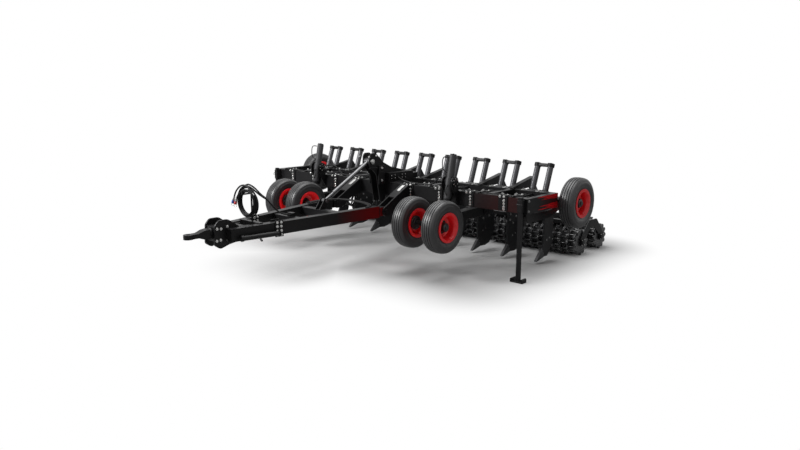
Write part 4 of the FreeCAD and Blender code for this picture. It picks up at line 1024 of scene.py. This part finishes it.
for row, y in (("front", front_axle_y), ("rear", rear_axle_y)):
    for name, middle in section_middles:
        cages = []
        for number in range(gaps):
            piece = cage.copy()
            piece.data = cage.data.copy()
            bpy.context.scene.collection.objects.link(piece)
            piece.rotation_euler = (half_tooth * (number % 2), 0.0, 0.0)
            piece.location = (gap_middle(middle, number), y, cage_z)
            cages.append(piece)
        whole = settle(joined(row + "_roller_bars_" + name, cages))
        set_on(smooth(whole, 40), row + "_roller_" + name, roller_black)
bpy.data.objects.remove(cage)

# %% [markdown]
# A scraper reaches into every gap between the rings, to keep soil out. It is a flat bar on two bolts, and
# a square rail under the arms carries the front row of each section.

# %% Scrapers and their rails
scraper_lean = math.radians(35.0)
scraper_half = 0.006
scraper = block((-0.027, -scraper_half, -0.130), (0.027, scraper_half, 0.105), 0.003)
scraper_heads = copies(bolt_model, [(0.0, -scraper_half, 0.075, front), (0.0, -scraper_half, 0.025, front)])
for piece in [scraper] + scraper_heads:
    piece.rotation_euler = (scraper_lean, 0.0, 0.0)
    settle(piece)
scraper_bolts = joined("scraper_bolts", scraper_heads)
# y, z of the front and the rear row of scrapers
scraper_rows = ((2.105, 0.505), (2.752, 0.468))
rail_half = 0.826
for name, middle in section_middles:
    plates, heads = [], []
    for number in range(gaps):
        for y, z in scraper_rows:
            place = (gap_middle(middle, number), y, z, up)
            plates += copies(scraper, [place])
            heads += copies(scraper_bolts, [place])
    plates.append(block((middle - rail_half, 2.045, 0.535), (middle + rail_half, 2.105, 0.595), 0.006))
    black_plates("scrapers_" + name, plates, "roller_section_" + name)
    set_on(joined("scraper_bolts_" + name, heads), "roller_section_" + name, dull_zinc)

# %% [markdown]
# Each section hangs on two arms, and each arm swings on a pin through its bracket on the frame. The pin's
# ends are the same washer and nut as the legs' pins have. After them nothing more is copied, so the small
# models that stood at the origin are removed.

# %% Pin ends of the roller arms
arm_reach, arm_y, arm_z = 0.0735, 1.3049, 1.080
rows = []
for x in (-2.030, -1.450, -0.290, 0.290, 1.450, 2.030):
    rows += both_faces(x, arm_reach, arm_y, arm_z)
bolt_rows("roller_arm_pin_ends", rows, "frame", dull_zinc, pin_end)

# %% Models put away
for model in (scraper, scraper_bolts, bolt_model, pin_end, foot_bolt, collar_model, lock_nut, bearing_cap,
              small_head, bearing):
    bpy.data.objects.remove(model)

# %% [markdown]
# ## Floor and studio light
# The photo is a catalogue picture: white all round, with one soft grey shadow that fades out. A floor
# disc takes the real shadow near the machine, and its grey over a patch round the machine and under the
# drawbar is painted shadow; further out it gives way to plain white, for the camera alone. Two large
# soft lamps do the lighting: one overhead and one high on the left, which draws the bright lines along
# the springs and the tread.

# %% Floor
let_go()
bpy.ops.mesh.primitive_circle_add(vertices=96, radius=30.0, fill_type="NGON", location=(0.0, 0.0, -0.002))
floor = settle(bpy.context.object)
floor.name = "studio_floor"
ground = bpy.data.materials.new("studio_floor")
ground.use_nodes = True
tree, links = ground.node_tree, ground.node_tree.links
shader = tree.nodes["Principled BSDF"]
# The grey base colour is painted shadow: the floor round the machine is darkened to the grey of its soft
# shadow.
shader.inputs["Base Color"].default_value = (0.42, 0.42, 0.42, 1.0)
shader.inputs["Roughness"].default_value = 0.9
shader.inputs["Specular IOR Level"].default_value = 0.0
place = add_node(tree, "TexCoord")


def far_from(middle, half):
    """How far a place on the floor lies outside a rectangle, from 0 at its edge."""
    steps = [("SUBTRACT", {1: (*middle, 0.0)}), ("ABSOLUTE", {}), ("SUBTRACT", {1: (*half, 1.0)}),
             ("MAXIMUM", {1: (0.0, 0.0, 0.0)}), ("LENGTH", {})]
    flow = place.outputs["Object"]
    for operation, values in steps:
        step = add_node(tree, "VectorMath", values, operation=operation)
        links.new(flow, step.inputs[0])
        flow = step.outputs["Value" if operation == "LENGTH" else "Vector"]
    return flow


# The patch of painted shadow: inside these two rectangles, round the machine and under the drawbar, the
# floor keeps its grey, and it fades to white within 1.25 m outside them.
painted_shadow_reach = add_node(tree, "Math", operation="MINIMUM")
links.new(far_from((0.0, 1.3), (2.3, 1.7)), painted_shadow_reach.inputs[0])
links.new(far_from((-0.5, -0.7), (0.3, 0.6)), painted_shadow_reach.inputs[1])
fade = add_node(tree, "MapRange", {"From Min": 0.0, "From Max": 1.25}, interpolation_type="SMOOTHSTEP")
seen = add_node(tree, "LightPath")
only_seen = add_node(tree, "Math", operation="MULTIPLY")
white = add_node(tree, "Emission")
blend = add_node(tree, "MixShader")
links.new(painted_shadow_reach.outputs[0], fade.inputs["Value"])
links.new(fade.outputs["Result"], only_seen.inputs[0])
links.new(seen.outputs["Is Camera Ray"], only_seen.inputs[1])
links.new(only_seen.outputs[0], blend.inputs["Fac"])
links.new(shader.outputs["BSDF"], blend.inputs[1])
links.new(white.outputs["Emission"], blend.inputs[2])
links.new(blend.outputs["Shader"], tree.nodes["Material Output"].inputs["Surface"])
floor.data.materials.append(ground)
print("floor nodes", len(tree.nodes))

# %% World and lamps
world = bpy.data.worlds.new("studio")
bpy.context.scene.world = world
world.use_nodes = True
tree, links = world.node_tree, world.node_tree.links
white_sky = (1.0, 1.0, 1.0, 1.0)
backdrop = add_node(tree, "Background", {"Strength": 1.0, "Color": white_sky})
room = tree.nodes["Background"]
room.inputs["Color"].default_value = white_sky
room.inputs["Strength"].default_value = 0.24
path = add_node(tree, "LightPath")
straight = add_node(tree, "Math", operation="MAXIMUM")
either = add_node(tree, "Math", operation="MAXIMUM")
choose = add_node(tree, "MixShader")
links.new(path.outputs["Is Camera Ray"], straight.inputs[0])
links.new(path.outputs["Is Transmission Ray"], straight.inputs[1])
links.new(straight.outputs[0], either.inputs[0])
links.new(path.outputs["Is Glossy Ray"], either.inputs[1])
links.new(either.outputs[0], choose.inputs["Fac"])
links.new(room.outputs["Background"], choose.inputs[1])
links.new(backdrop.outputs["Background"], choose.inputs[2])
links.new(choose.outputs["Shader"], tree.nodes["World Output"].inputs["Surface"])


def soft_lamp(name, place, target, size, power):
    """A round soft lamp aimed at a place."""
    lamp_data = bpy.data.lights.new(name, "AREA")
    lamp_data.shape = "DISK"
    lamp_data.size = size
    lamp_data.energy = power
    lamp = bpy.data.objects.new(name, lamp_data)
    bpy.context.scene.collection.objects.link(lamp)
    lamp.location = place
    lamp.rotation_euler = (Vector(target) - Vector(place)).to_track_quat("-Z", "Y").to_euler()


soft_lamp("overhead", (-0.5, 0.5, 7.5), (0.0, 0.3, 0.0), 7.0, 620.0)
soft_lamp("high_left", (-4.5, -6.5, 5.5), (0.3, 0.0, 0.6), 2.4, 820.0)
bpy.context.scene.view_settings.view_transform = "Standard"
print("lamps", [light.name for light in bpy.data.lights])
